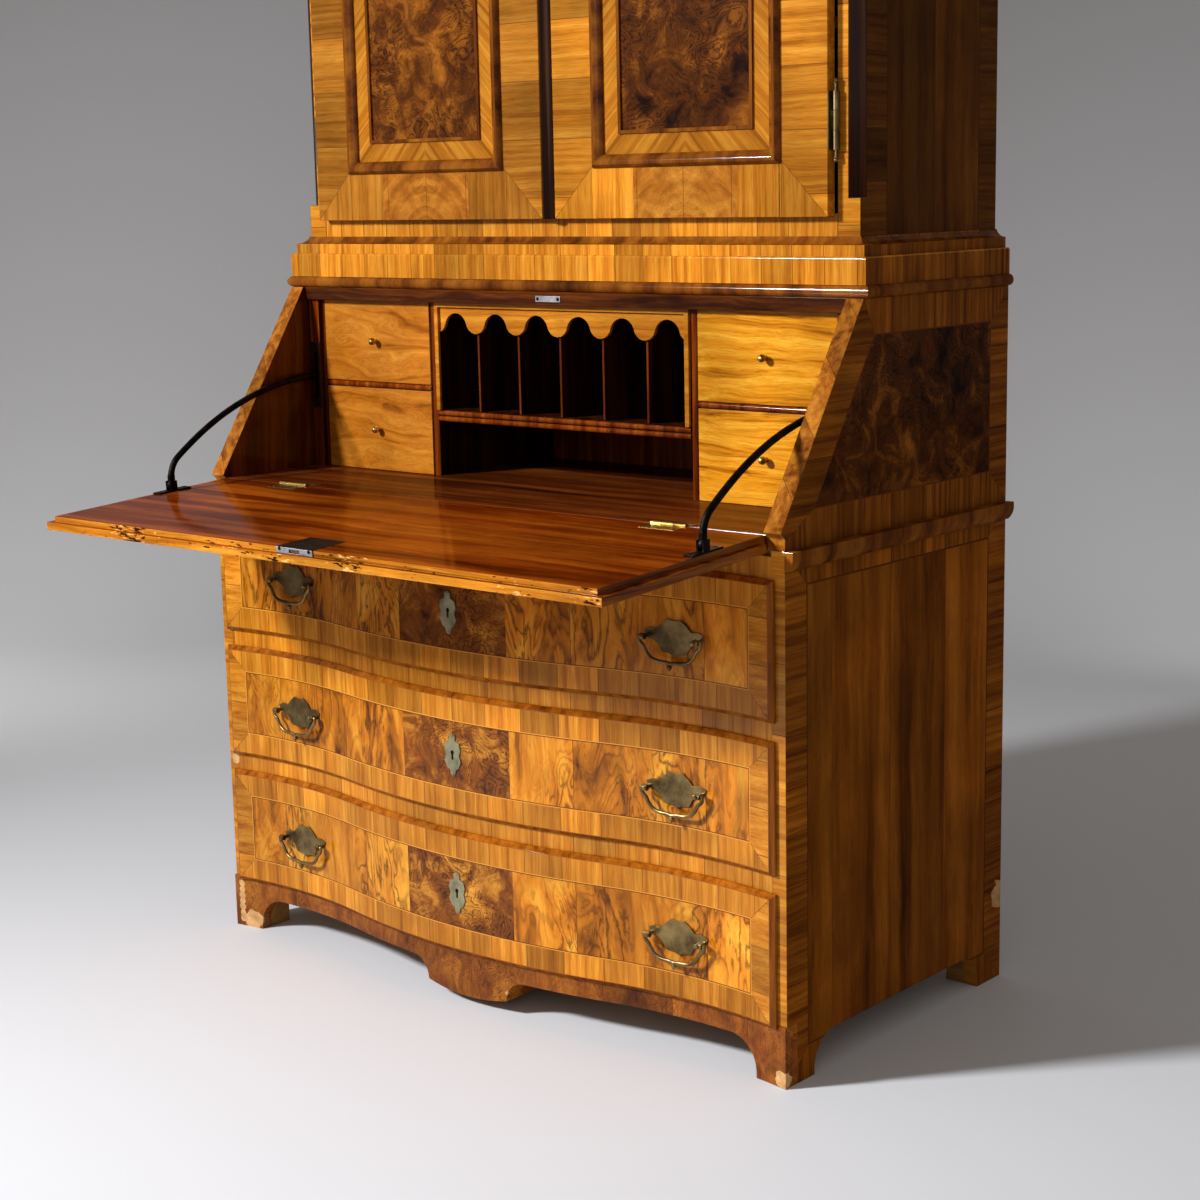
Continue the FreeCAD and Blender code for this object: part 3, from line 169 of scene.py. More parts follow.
# A crease is kept at a turn over SHARP_TURN degrees, and where a face meets one WIDE_FACE times
# its size, unless the two lie within FLAT_TURN degrees
SHARP_TURN = 25
FLAT_TURN = 2
WIDE_FACE = 6
# Width of an eased arris on wood, on small metal and on the lip of a drawer
ARRIS = 0.8 * MM
METAL_ARRIS = 0.4 * MM
LIP_ARRIS = 2.4 * MM


def put(name, data):
    """A new object in the scene, at the origin."""
    made = bpy.data.objects.new(name, data)
    bpy.context.collection.objects.link(made)
    return made


def mesh_from(name, shape):
    """A new mesh from a shape that isn't needed any more."""
    mesh = bpy.data.meshes.new(name)
    shape.to_mesh(mesh)
    shape.free()
    return mesh


def surface_of(mesh):
    """A mesh's surface, to find points on."""
    return BVHTree.FromPolygons([v.co for v in mesh.vertices], [f.vertices for f in mesh.polygons])


def copy_of(node, whole=True):
    """A copy of a CAD node's mesh with its loose triangles joined into whole or four-sided faces."""
    shape = bmesh.new()
    shape.from_mesh(nodes[node].data)
    bmesh.ops.remove_doubles(shape, verts=shape.verts, dist=0.02 * MM)
    if whole:
        bmesh.ops.dissolve_limit(shape, angle_limit=math.radians(0.3), verts=shape.verts,
                                 edges=shape.edges, use_dissolve_boundaries=False)
    else:
        bmesh.ops.join_triangles(shape, faces=shape.faces, angle_face_threshold=math.radians(12),
                                 angle_shape_threshold=math.radians(60))
    return put(node + "_dressed", mesh_from(node + "_dressed", shape))


def even_shading(mesh):
    """Smooth over gentle turns, with a crease at a sharp turn or where a wide face meets a narrow one."""
    shape = bmesh.new()
    shape.from_mesh(mesh)
    for face in shape.faces:
        face.smooth = True
    for edge in shape.edges:
        if len(edge.link_faces) != 2:
            edge.smooth = False
            continue
        first, second = edge.link_faces
        turn = math.degrees(first.normal.angle(second.normal, 0))
        small, large = sorted((first.calc_area(), second.calc_area()))
        edge.smooth = turn < SHARP_TURN and (turn < FLAT_TURN or large < WIDE_FACE * small)
    shape.to_mesh(mesh)
    shape.free()


def make_real(piece):
    """Makes a piece's modifiers part of its mesh and takes them off."""
    shown = piece.evaluated_get(bpy.context.evaluated_depsgraph_get())
    mesh = bpy.data.meshes.new_from_object(shown)
    piece.modifiers.clear()
    piece.data = mesh
    even_shading(mesh)
    return mesh


def settle(piece, node, finish):
    """Makes the modifiers part of the mesh, gives it a finish and puts it in the node's place."""
    mesh = make_real(piece)
    mesh.name = piece.name
    mesh.materials.clear()
    mesh.materials.append(finish)
    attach(piece, body_of[node])
    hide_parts(node)
    return piece


def ease(node, finish, width=ARRIS, segments=2):
    """A board or plate with its arrises eased, as a plane or long wear leaves them."""
    piece = copy_of(node)
    bevel = piece.modifiers.new("arris", "BEVEL")
    bevel.width = width
    bevel.segments = segments
    bevel.limit_method = "ANGLE"
    bevel.angle_limit = math.radians(28)
    settle(piece, node, finish)
    keep_within(piece.data, nodes[node].data)
    return piece


def keep_within(mesh, solid):
    """Brings back to the solid's surface the corners that easing has pushed out where boards meet."""
    surface = surface_of(solid)
    for vert in mesh.vertices:
        spot, way, _, gap = surface.find_nearest(vert.co)
        if gap > 0.1 * MM and (vert.co - spot).dot(way) > 0:
            vert.co = spot


def round_off(node, finish, grow):
    """A bent or turned metal piece, rounded from its flat-sided solid and grown by what that takes off."""
    piece = copy_of(node, False)
    swell = piece.modifiers.new("round", "SUBSURF")
    swell.levels = 2
    swell.render_levels = 2
    push = piece.modifiers.new("full", "DISPLACE")
    push.strength = grow
    push.mid_level = 0.0
    return settle(piece, node, finish)


def paint(piece, finish, test):
    """Gives another finish to the faces whose middle and outward direction pass a test."""
    piece.data.materials.append(finish)
    index = len(piece.data.materials) - 1
    for face in piece.data.polygons:
        if test(face.center, face.normal):
            face.material_index = index


# Woods: dark, middle and light tone of each, from old walnut under wax
WALNUT = ("#93520e", "#bb7119", "#d89430")
# The golden walnut painted darker as shade, for the left door's frame
LEFT_WALNUT_PAINTED_SHADE = ("#7f480e", "#a3641a", "#bc7e2c")
# Side walnut in two copies: one painted lighter as light from the floor, and one painted darker as shade
# for the cabinet's sides
SIDE_WALNUT_PAINTED_LIT = ("#4c2303", "#82440a", "#a86218")
SIDE_WALNUT_PAINTED_SHADE = ("#371902", "#5c3007", "#754510")
FIGURED = ("#4a2006", "#ca7718", "#f2ac36")
APRON_WALNUT = ("#341507", "#844411", "#b6701e")
RED_WALNUT = ("#2c0b01", "#672603", "#9b4e0f")
INNER_WALNUT = ("#200a03", "#4e1f07", "#7a3c12")
DARK_WALNUT = ("#160703", "#3a1805", "#6a330a")
MOULDING = ("#301405", "#6c370b", "#9c5d18")
CORNICE = ("#6a360a", "#945510", "#b87820")
SLOPE_WALNUT = ("#4a2207", "#8a4c12", "#b97726")
LIP_WALNUT = ("#5c2806", "#8e4a0e", "#b56c1a")
STAINED = ("#0e0502", "#260f05", "#40200b")
HONEY = ("#7e4006", "#c67c12", "#e2a430")
PALE = ("#8a4a0c", "#b26a16", "#cd8a2c")
CHERRY = ("#6c3408", "#a86016", "#c17c28")
PLAIN = ("#6d4a26", "#93683a", "#a98050")
BURL = ("#150703", "#532909", "#985817")
CROWN = ("#5c2e0b", "#955616", "#c8862e")
HEART = ("#240d03", "#7c420e", "#cf8c2c")
# Single colours: broken wood, splinters, dirt, and the dark lines of joints and holes
RAW_WOOD = "#d3a268"
SPLINTER = "#d9a05a"
DIRT = "#2a1206"
BEETLE_HOLE = "#1c0b04"
KEYHOLE_SHADE = "#0a0503"
SEAM = "#4a2409"
STRING_SHADOW = "#5a2e0c"
PALE_STRING = "#cf8a30"
RIM = "#8a4a16"
# Where the dark, middle and light tone lie along the figure
GRAIN_STOPS = (0.28, 0.46, 0.72)
BURR_STOPS = (0.36, 0.5, 0.64)
METAL_STOPS = (0.36, 0.5, 0.66)
# Width of a growth line and sway of the grain in a cross band
BAND_RING = 9 * MM
BAND_SWAY = 4 * MM
# How far along its log each sheet of veneer is cut from the next, times a number from 0 to 1
LOG = 7.0
# A sheet wider than any piece
UNCUT = 9.0


def wood(tree, along, across, depth, tones, shade, ring=12 * MM, sway=10 * MM):
    """The colour, growth lines and pores of a wood whose grain runs along one coordinate.
    Ring is the width of a growth line and sway is how far the lines wander."""
    place = spot_of(tree, along, across, depth)
    drift = noise(tree, place, 1, 3, (4, 11, 11), "Color")
    drift = add(tree, "ShaderNodeVectorMath", {0: drift, 1: (0.5, 0.5, 0.5)}, operation="SUBTRACT")
    bent = add(tree, "ShaderNodeVectorMath", {0: drift, 1: (0, sway * 4, sway * 4), 2: place},
               operation="MULTIPLY_ADD")
    growth = noise(tree, bent, 1, 6, (1.3, 1 / ring, 1 / ring), Roughness=0.6)
    # Pores are drawn about three times as wide as real ones, so that they show
    pores = noise(tree, bent, 1, 2, (30, 900, 900))
    fine = span(tree, pores, 0.3, 0.56, 0.74, 1.04)
    broad = span(tree, noise(tree, place, 6, 4), 0.3, 0.66, 0.66, 1.16)
    light = calc(tree, "MULTIPLY", calc(tree, "MULTIPLY", fine, broad), shade)
    return times(tree, toned(tree, growth, GRAIN_STOPS, tones), light), growth, pores


def polish(tree, shader, growth, pores, gloss):
    """Wax polish: an even gloss that the pores break, and the faint relief of the grain.
    Gloss is its roughness, from bright at 0.3 to bare wood at 0.6."""
    rough = span(tree, pores, 0.3, 0.7, gloss + 0.14, gloss - 0.04)
    tree.links.new(rough, shader.inputs["Roughness"])
    relief = calc(tree, "ADD", growth, pores)
    bump = add(tree, "ShaderNodeBump", {"Height": relief, "Strength": 0.1, "Distance": 0.4 * MM})
    tree.links.new(bump, shader.inputs["Normal"])
    shader.inputs["IOR"].default_value = 1.5
    shader.inputs["Specular IOR Level"].default_value = 0.0
    shader.inputs["Coat Weight"].default_value = min(0.4, max(0.0, 4 * (0.6 - gloss)))
    shader.inputs["Coat Roughness"].default_value = 0.1


def worm_holes(tree, place, colour, spacing=38 * MM, bore=1.5 * MM):
    """Dark holes of the furniture beetle, about one in three of the places on a rough grid."""
    cells = add(tree, "ShaderNodeTexVoronoi", {"Vector": place, "Scale": 1 / spacing}).node.outputs
    dot = calc(tree, "LESS_THAN", cells["Distance"], bore / spacing / 2)
    some = calc(tree, "GREATER_THAN", cells["Color"], 0.66)
    return blend(tree, calc(tree, "MULTIPLY", dot, some), colour, srgb(BEETLE_HOLE))


def chipped(tree, place, colour, chips):
    """Raw wood showing where veneer has broken away, as ragged patches about given points."""
    if not chips:
        return colour
    ragged = noise(tree, place, 90, 3)
    crumb = times(tree, srgb(RAW_WOOD)[:3], span(tree, ragged, 0.3, 0.7, 0.6, 1.1))
    for x, y, z, reach in chips:
        far = calc(tree, "MULTIPLY_ADD", ragged, reach, distance(tree, place, (x, y, z)))
        colour = blend(tree, calc(tree, "LESS_THAN", far, reach * 1.5), colour, crumb)
    return colour


def crumbled(tree, place, colour):
    """An edge knocked about for long: splinters of raw wood and dirt in long specks, in patches."""
    calm = span(tree, noise(tree, place, 7, 2), 0.44, 0.6, 0.1, -0.04)
    speck = noise(tree, place, 1, 4, (70, 260, 260))
    raw = calc(tree, "GREATER_THAN", speck, calc(tree, "ADD", calm, 0.64))
    dirt = calc(tree, "LESS_THAN", speck, calc(tree, "SUBTRACT", 0.39, calm))
    return blend(tree, dirt, blend(tree, raw, colour, srgb(SPLINTER)), srgb(DIRT))


def burr(tree, place, tones, curl, veins, lines=24.0):
    """Burr or crotch walnut: clouds, and thin dark veins that follow the clouds' outlines.
    Curl is the number of clouds in a metre, veins is how dark the veins are and lines is how
    many a cloud has."""
    cloud = noise(tree, place, curl, 3, Roughness=0.5, Distortion=1.3)
    curdle = noise(tree, place, curl * 2.2, 9, Roughness=0.68, Distortion=1.0)
    zone = noise(tree, place, curl * 0.5, 4, Distortion=1.6)
    colour = toned(tree, choose(tree, 0.4, curdle, zone), BURR_STOPS, tones)
    step = calc(tree, "MULTIPLY", calc(tree, "MULTIPLY_ADD", curdle, 0.22, cloud), lines)
    vein = span(tree, calc(tree, "PINGPONG", step, 0.5), 0.0, 0.26, veins, 0.0)
    patch = span(tree, noise(tree, place, curl * 0.9, 2), 0.4, 0.56, 0.25, 1.0)
    return blend(tree, calc(tree, "MULTIPLY", vein, patch), colour, srgb(tones[0]))


def in_sheets(tree, across, width, gap):
    """The number of each sheet laid side by side, and the thin seams between them."""
    count = calc(tree, "DIVIDE", across, width)
    cell = calc(tree, "FLOOR", count)
    into = calc(tree, "MULTIPLY", calc(tree, "SUBTRACT", count, cell), width)
    return cell, calc(tree, "LESS_THAN", into, gap)


def chance_of(tree, cell):
    """A fixed random number for each sheet."""
    return add(tree, "ShaderNodeTexWhiteNoise", {"W": cell}, noise_dimensions="1D")


def plain_wood(name, grain, tones, ring, sway, gloss=0.5, block=0, shade=1.0, holes=False, chips=(),
               knocked=False, curled=0.0):
    """Solid wood or a plain veneer with its grain along one axis, in blocks where given.
    Curled is how much of a veneer in blocks is burr figure."""
    made, tree, shader = material(name)
    place, parts = split(tree)
    order = {"x": (0, 2, 1), "y": (1, 2, 0), "z": (2, 0, 1)}[grain]
    along, across, depth = [parts[i] for i in order]
    tint = shade
    if block:
        cell, seam = in_sheets(tree, calc(tree, "ADD", across, depth), block, 1.2 * MM)
        chance = chance_of(tree, cell)
        tint = span(tree, chance, 0.0, 1.0, shade * 0.74, shade * 1.16)
        along = calc(tree, "MULTIPLY_ADD", chance, LOG, along)
    colour, growth, pores = wood(tree, along, across, depth, tones, tint, ring, sway)
    polish(tree, shader, growth, pores, gloss)
    if curled:
        shifted = add(tree, "ShaderNodeMapping", {"Vector": spot_of(tree, along, across, depth),
                                                  "Scale": (0.8, 1.2, 1)})
        knots = times(tree, burr(tree, shifted, tones, 12.0, 0.8), tint)
        colour = blend(tree, curled, colour, knots)
    if block:
        colour = blend(tree, calc(tree, "MULTIPLY", seam, 0.75), colour, srgb(SEAM))
    if holes:
        colour = worm_holes(tree, place, colour)
    if knocked:
        colour = crumbled(tree, place, colour)
    colour = chipped(tree, place, colour, chips)
    tree.links.new(colour, shader.inputs["Base Color"])
    return made


def crotch_over(tree, inside, place, tones, tint, share):
    """Crotch figure over part of a field, in long curls that lean to the grain."""
    leaning = add(tree, "ShaderNodeMapping", {"Vector": place, "Scale": (0.5, 1.3, 1),
                                              "Rotation": (0, 0, math.radians(18))})
    figure = times(tree, burr(tree, leaning, tones, 7.0, 0.85, 15.0), tint)
    where = span(tree, noise(tree, place, 4.5, 2), 0.5 - share * 0.35, 0.66 - share * 0.35, 0.0, 1.0)
    return blend(tree, where, inside, figure)


def veneer(name, axes, low, high, band, tones=WALNUT, field=FIGURED, block=70 * MM, leaf=UNCUT,
           line=1.3 * MM, string=PALE_STRING, lip=0.0, ring=16 * MM, sway=10 * MM, gloss=0.5,
           slope=None, crotch=0.0, heart=None, burrs=BURL, keyhole_shade=0.0, crown=None, feather=False,
           chips=()):
    """A veneered panel: a cross band round a field, the band's grain square to its edge and
    mitred at the corners, and a string between them. Block and leaf are the widths of the band's
    and the field's sheets, slope is a point and the inward direction of a slanted edge, crotch is
    how much of the field is curled figure, heart is the middle and half width of a burr
    rectangle, keyhole_shade is the radius of a nearly black disc painted as shade behind a key
    plate, and crown is the middle and half width of a mirrored swirl in the level bands. A
    feathered band has its grain at 45 degrees, mirrored about the panel's middle."""
    made, tree, shader = material(name)
    place, parts = split(tree)
    first, second = ["xyz".index(axis) for axis in axes]
    u, v, depth = parts[first], parts[second], parts[3 - first - second]
    beside = from_edge(tree, u, low[0], high[0])
    above = from_edge(tree, v, low[1], high[1])
    if slope:
        (slope_u, slope_v), (way_u, way_v) = slope
        lean = calc(tree, "MULTIPLY_ADD", u, way_u, -slope_u * way_u - slope_v * way_v)
        lean = calc(tree, "MULTIPLY_ADD", v, way_v, lean)
        beside = calc(tree, "MINIMUM", beside, lean)
    near = calc(tree, "MINIMUM", beside, above)
    banded = calc(tree, "LESS_THAN", near, band)
    upright = calc(tree, "LESS_THAN", beside, above)
    if feather:
        apart = off_middle(tree, u, (low[0] + high[0]) / 2)
        along = calc(tree, "SUBTRACT", v, apart)
        across = calc(tree, "ADD", v, apart)
    else:
        sideways = calc(tree, "MULTIPLY", banded, upright)
        along = choose(tree, sideways, v, u)
        across = choose(tree, sideways, u, v)
    cell, seam = in_sheets(tree, across, choose(tree, banded, leaf, block), 1.1 * MM)
    mitre = calc(tree, "COMPARE", beside, above, 0.6 * MM)
    seam = calc(tree, "MAXIMUM", seam, calc(tree, "MULTIPLY", mitre, banded))
    # Bands take other numbers than the field, and upright bands other numbers than level ones
    turned = calc(tree, "MULTIPLY_ADD", upright, 31.7, 17.3)
    chance = chance_of(tree, calc(tree, "MULTIPLY_ADD", banded, turned, cell))
    along = calc(tree, "MULTIPLY_ADD", chance, LOG, along)
    tint = span(tree, chance, 0.0, 1.0, 0.7, 1.12)
    inside = wood(tree, along, across, depth, field, tint, ring, sway)[0]
    border, growth, pores = wood(tree, along, across, depth, tones, tint, BAND_RING, BAND_SWAY)
    if crotch:
        inside = crotch_over(tree, inside, spot_of(tree, along, across, depth), field, tint, crotch)
    if heart:
        core = calc(tree, "COMPARE", u, heart[0], heart[1])
        inside = blend(tree, core, inside, burr(tree, place, burrs, 9.0, 0.85))
    # A nearly black disc painted as shade, seen through the key plate's keyhole
    if keyhole_shade:
        hole = distance(tree, spot_of(tree, u, v, 0.0), (heart[0], (low[1] + high[1]) / 2, 0))
        inside = blend(tree, calc(tree, "LESS_THAN", hole, keyhole_shade), inside, srgb(KEYHOLE_SHADE))
    if crown:
        off = off_middle(tree, u, crown[0])
        rings = distance(tree, spot_of(tree, off, v, 0.0), (0, low[1] - 24 * MM, 0))
        swirl, growth, pores = wood(tree, off, rings, depth, CROWN, 1.0, 13 * MM, 13 * MM)
        curl = burr(tree, spot_of(tree, off, v, 3 * crown[0]), CROWN, 11.0, 0.5)
        level = calc(tree, "SUBTRACT", 1.0, upright)
        here = calc(tree, "MULTIPLY", calc(tree, "LESS_THAN", off, crown[1]), level)
        border = blend(tree, here, border, blend(tree, 0.6, swirl, curl))
    polish(tree, shader, growth, pores, gloss)
    colour = blend(tree, banded, inside, border)
    colour = blend(tree, calc(tree, "MULTIPLY", seam, 0.7), colour, srgb(SEAM))
    shadow = calc(tree, "COMPARE", near, band + line, line / 2)
    colour = blend(tree, shadow, colour, srgb(STRING_SHADOW))
    joint = calc(tree, "COMPARE", near, band, line / 2)
    colour = blend(tree, joint, colour, srgb(string))
    colour = chipped(tree, place, worm_holes(tree, place, colour), chips)
    if lip:
        colour = blend(tree, calc(tree, "LESS_THAN", near, lip), colour, srgb(RIM))
    tree.links.new(colour, shader.inputs["Base Color"])
    return made


def metal(name, tones, rough, grit=3 * MM, bump=0.25, bare=1.0):
    """Old metal: a worn tone and a dull one in clouds, with a slightly uneven surface.
    Grit is the size of its pits, and bare is how much of it is clean metal and not under a dull skin."""
    made, tree, shader = material(name)
    place, _ = split(tree)
    cloud = noise(tree, place, 1 / (6 * grit), 6, Roughness=0.65)
    tree.links.new(toned(tree, cloud, METAL_STOPS, tones), shader.inputs["Base Color"])
    sheen = span(tree, cloud, 0.3, 0.7, rough + 0.12, rough - 0.08)
    tree.links.new(sheen, shader.inputs["Roughness"])
    pits = noise(tree, place, 1 / grit, 4)
    relief = add(tree, "ShaderNodeBump", {"Height": pits, "Strength": bump, "Distance": 0.3 * MM})
    tree.links.new(relief, shader.inputs["Normal"])
    shader.inputs["Metallic"].default_value = bare
    return made


# Places of broken veneer: x, y and z in metres, and how far each reaches
SIDE_CHIPS = ((0.56, 0.44, 0.13, 22 * MM), (0.56, -0.1, 0.01, 14 * MM))
STILE_CHIPS = ((-0.545, -0.106, 0.285, 9 * MM), (-0.55, -0.106, 0.06, 16 * MM))
APRON_CHIPS = [(-0.546, -0.106, z, 6 * MM) for z in (0.012, 0.022, 0.032, 0.042, 0.052, 0.062, 0.072)]
APRON_CHIPS += [(-0.526, -0.106, 0.012, 17 * MM), (-0.514, -0.106, 0.016, 12 * MM),
                (0.553, -0.106, 0.012, 13 * MM), (0.084, -0.15, 0.034, 11 * MM)]

# Finishes, each with what it gives the eye

# Golden veneer in short level blocks on the front edges of the sides, broken at the left foot
stile_wood = plain_wood("stile_veneer", "x", WALNUT, BAND_RING, BAND_SWAY, block=95 * MM, chips=STILE_CHIPS)
# The same veneer in upright blocks on the rails between the drawers
rail_wood = plain_wood("rail_veneer", "z", WALNUT, 8 * MM, 4 * MM, block=80 * MM)
# Red-brown burr in long sheets on the apron, with pale broken patches on the feet
apron_wood = plain_wood("apron_veneer", "z", APRON_WALNUT, 18 * MM, 16 * MM, block=130 * MM, curled=0.75,
                        chips=APRON_CHIPS)
# Golden blocks on the front of the frieze, and dull brown ones on its sides, darker there as painted shade
frieze_wood = plain_wood("frieze_veneer", "z", WALNUT, BAND_RING, BAND_SWAY, block=52 * MM)
frieze_side_painted_shade = plain_wood("frieze_side_veneer", "z", SIDE_WALNUT_PAINTED_LIT, BAND_RING, BAND_SWAY, gloss=0.57,
                         block=52 * MM)
# Mottled brown on the slanted front edges of the desk
slope_wood = plain_wood("slope_edge_veneer", "y", SLOPE_WALNUT, 14 * MM, 10 * MM, block=75 * MM)
# A nearly black strip above the open desk
top_edge_wood = plain_wood("desk_top_edge_veneer", "x", DARK_WALNUT, 12 * MM, 10 * MM)
# Dark cross-grained mouldings with a bright line of light along them, and dull ones at the sides
cross_moulding = plain_wood("cross_grained_moulding", "z", MOULDING, 34 * MM, 7 * MM, gloss=0.3)
side_moulding = plain_wood("side_grained_moulding", "x", MOULDING, 34 * MM, 7 * MM, gloss=0.3)
shaded_moulding = plain_wood("waist_moulding_walnut", "z", MOULDING, 34 * MM, 7 * MM, gloss=0.56)
# A warm brown bright line round each drawer
lip_wood = plain_wood("drawer_lip_walnut", "z", LIP_WALNUT, 14 * MM, 6 * MM, gloss=0.3)
# Mellow golden brown on the cornice
cornice_wood = plain_wood("cornice_walnut", "z", CORNICE, 20 * MM, 5 * MM, gloss=0.4)
# Wood stained nearly black, shining between the doors and dull on the canted corners
stained_wood = plain_wood("astragal_walnut", "z", STAINED, 8 * MM, 3 * MM, gloss=0.3)
cant_wood = plain_wood("cant_walnut", "z", STAINED, 8 * MM, 3 * MM, gloss=0.56)
# Dry pale brown pine inside the case and the drawers, its grain along each board
upright_wood = plain_wood("upright_pine", "z", PLAIN, 20 * MM, 10 * MM, gloss=0.6)
carcass_wood = plain_wood("carcass_pine", "x", PLAIN, 20 * MM, 10 * MM, gloss=0.6)
drawer_wood = plain_wood("drawer_pine", "y", PLAIN, 16 * MM, 8 * MM, gloss=0.6)
# Deep red-brown inside the desk, dull on the bed and mirror-bright on the fall
inner_wood = plain_wood("desk_inner_walnut", "z", INNER_WALNUT, 20 * MM, 8 * MM)
bed_wood = plain_wood("bed_walnut", "x", INNER_WALNUT, 30 * MM, 8 * MM, gloss=0.54)
fall_wood = plain_wood("fall_walnut", "x", RED_WALNUT, 26 * MM, 8 * MM, gloss=0.36)
# Orange edge of the fall with splinters and dirt, and its plain brown ends
worn_edge = plain_wood("fall_edge_pine", "x", PALE, 10 * MM, 6 * MM, gloss=0.5, knocked=True)
end_wood = plain_wood("fall_end_walnut", "y", LIP_WALNUT, 10 * MM, 6 * MM, gloss=0.5)
# Red-brown edges of the gallery round its hollows, whose insides are painted nearly black as shade, under a
# pale board with beetle holes
gallery_wood = plain_wood("gallery_walnut", "z", RED_WALNUT, 14 * MM, 6 * MM)
painted_shade_inside = plain_wood("gallery_inside", "z", DARK_WALNUT, 20 * MM, 8 * MM, gloss=0.6, shade=0.5)
valance_wood = plain_wood("valance_walnut", "x", PALE, 16 * MM, 8 * MM, holes=True)
# Small drawers in softly waved cherry on the left and striped honey-coloured ash on the right
gallery_fronts = {"left": plain_wood("gallery_drawer_cherry", "x", CHERRY, 15 * MM, 34 * MM),
                  "right": plain_wood("gallery_drawer_ash", "x", HONEY, 8 * MM, 12 * MM)}
# Brown brass with a soft shine on the handles, greenish grey on the key plates, yellow on hinges
brass = metal("patinated_brass", ("#4e3d22", "#75603a", "#937c4e"), 0.32, 7 * MM, 0.1, 0.8)
key_brass = metal("key_plate_brass", ("#6a6549", "#878265", "#a09b7c"), 0.44, 5 * MM, 0.15, 0.6)
bright_brass = metal("hinge_brass", ("#6b5220", "#b08d45", "#d8b870"), 0.3)
# Black iron with a faint shine, rusty brown iron plates, and a grey steel lock
iron = metal("wrought_iron", ("#0d0b0a", "#1b1715", "#2c2622"), 0.46)
old_iron = metal("slot_plate_iron", ("#1c1009", "#2c1b11", "#3c281a"), 0.5, bare=0.5)
steel = metal("lock_steel", ("#6e6c6c", "#98989b", "#b4b5b9"), 0.34, bare=0.5)

# Widths of the cross bands on sides and fall, drawers, door frames and door panels
SIDE_BAND = 48 * MM
DRAWER_BAND = 40 * MM
FRAME_BAND = 200 * MM
PANEL_BAND = 30 * MM
# Width of a drawer's rounded lip, and of the moulding that covers a door panel's edge
LIP = 7 * MM
COVERED = 16 * MM
# A heart that fills the whole field
ALL_HEART = (0.0, 2.0)
# Height above which the base of the cabinet is moulded, and not banded
BASE_BANDS = 1.1
# Inward direction of the desk's slanted edge, as y and z
SLOPE_WAY = (0.839, -0.5446)
# Half the width of what lies in the middle of the front: key plates, strike and lock
MIDDLE = 0.1
DRAWERS = ("upper", "middle", "lower")
SIDES = ("left", "right")


def faces_out(middle, way):
    """The outer faces of both sides."""
    return way.x * middle.x > 0 and abs(way.x) > 0.9


def faces_front(middle, way):
    """Faces turned to the front, level or slanted."""
    return way.y < -0.5


def in_middle(middle, way):
    """Faces near the middle of the front."""
    return abs(middle.x) < MIDDLE


def on_lip(low, high):
    """A test for the rounded lip of a drawer front, from its box."""
    def test(middle, way):
        rim = middle.z > high[2] - LIP or middle.z < low[2] + LIP or abs(middle.x) > high[0] - LIP
        return abs(way.y) < 0.97 and rim
    return test


def dress_chest():
    """Sides, apron, rails and drawers of the chest."""
    low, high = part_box("chest_sides")
    sides = ease("chest_sides", upright_wood)
    # Brown sheets, 140 mm wide, inside a cross band, painted lighter as light thrown up from the floor
    paint(sides, veneer("chest_side_veneer", "yz", low[1:], high[1:], SIDE_BAND, field=SIDE_WALNUT_PAINTED_LIT,
                        tones=SIDE_WALNUT_PAINTED_LIT, ring=30 * MM, leaf=140 * MM, string="#4a2608", gloss=0.57,
                        chips=SIDE_CHIPS), faces_out)
    paint(sides, stile_wood, faces_front)
    ease("chest_apron", apron_wood)
    ease("drawer_rails", rail_wood)
    for word in DRAWERS:
        low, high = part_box(f"drawer_{word}_front")
        front = ease(f"drawer_{word}_front", drawer_wood, LIP_ARRIS, 3)
        # Golden curled sheets beside a dark burr heart, in a golden cross band, with painted shade behind
        # the keyhole
        paint(front, veneer(
            f"drawer_{word}_veneer", "xz", (low[0], low[2]), (high[0], high[2]), DRAWER_BAND,
            heart=(0.0, 107 * MM), block=64 * MM, leaf=214 * MM, crotch=0.55, lip=LIP,
            keyhole_shade=13 * MM, burrs=HEART), faces_front)
        paint(front, lip_wood, on_lip(low, high))
        ease(f"drawer_{word}_box", drawer_wood)
    for node in ("chest_boards", "drawer_runners", "foot_blocks", "back_boards"):
        ease(node, carcass_wood)
    ease("waist_moulding", shaded_moulding)


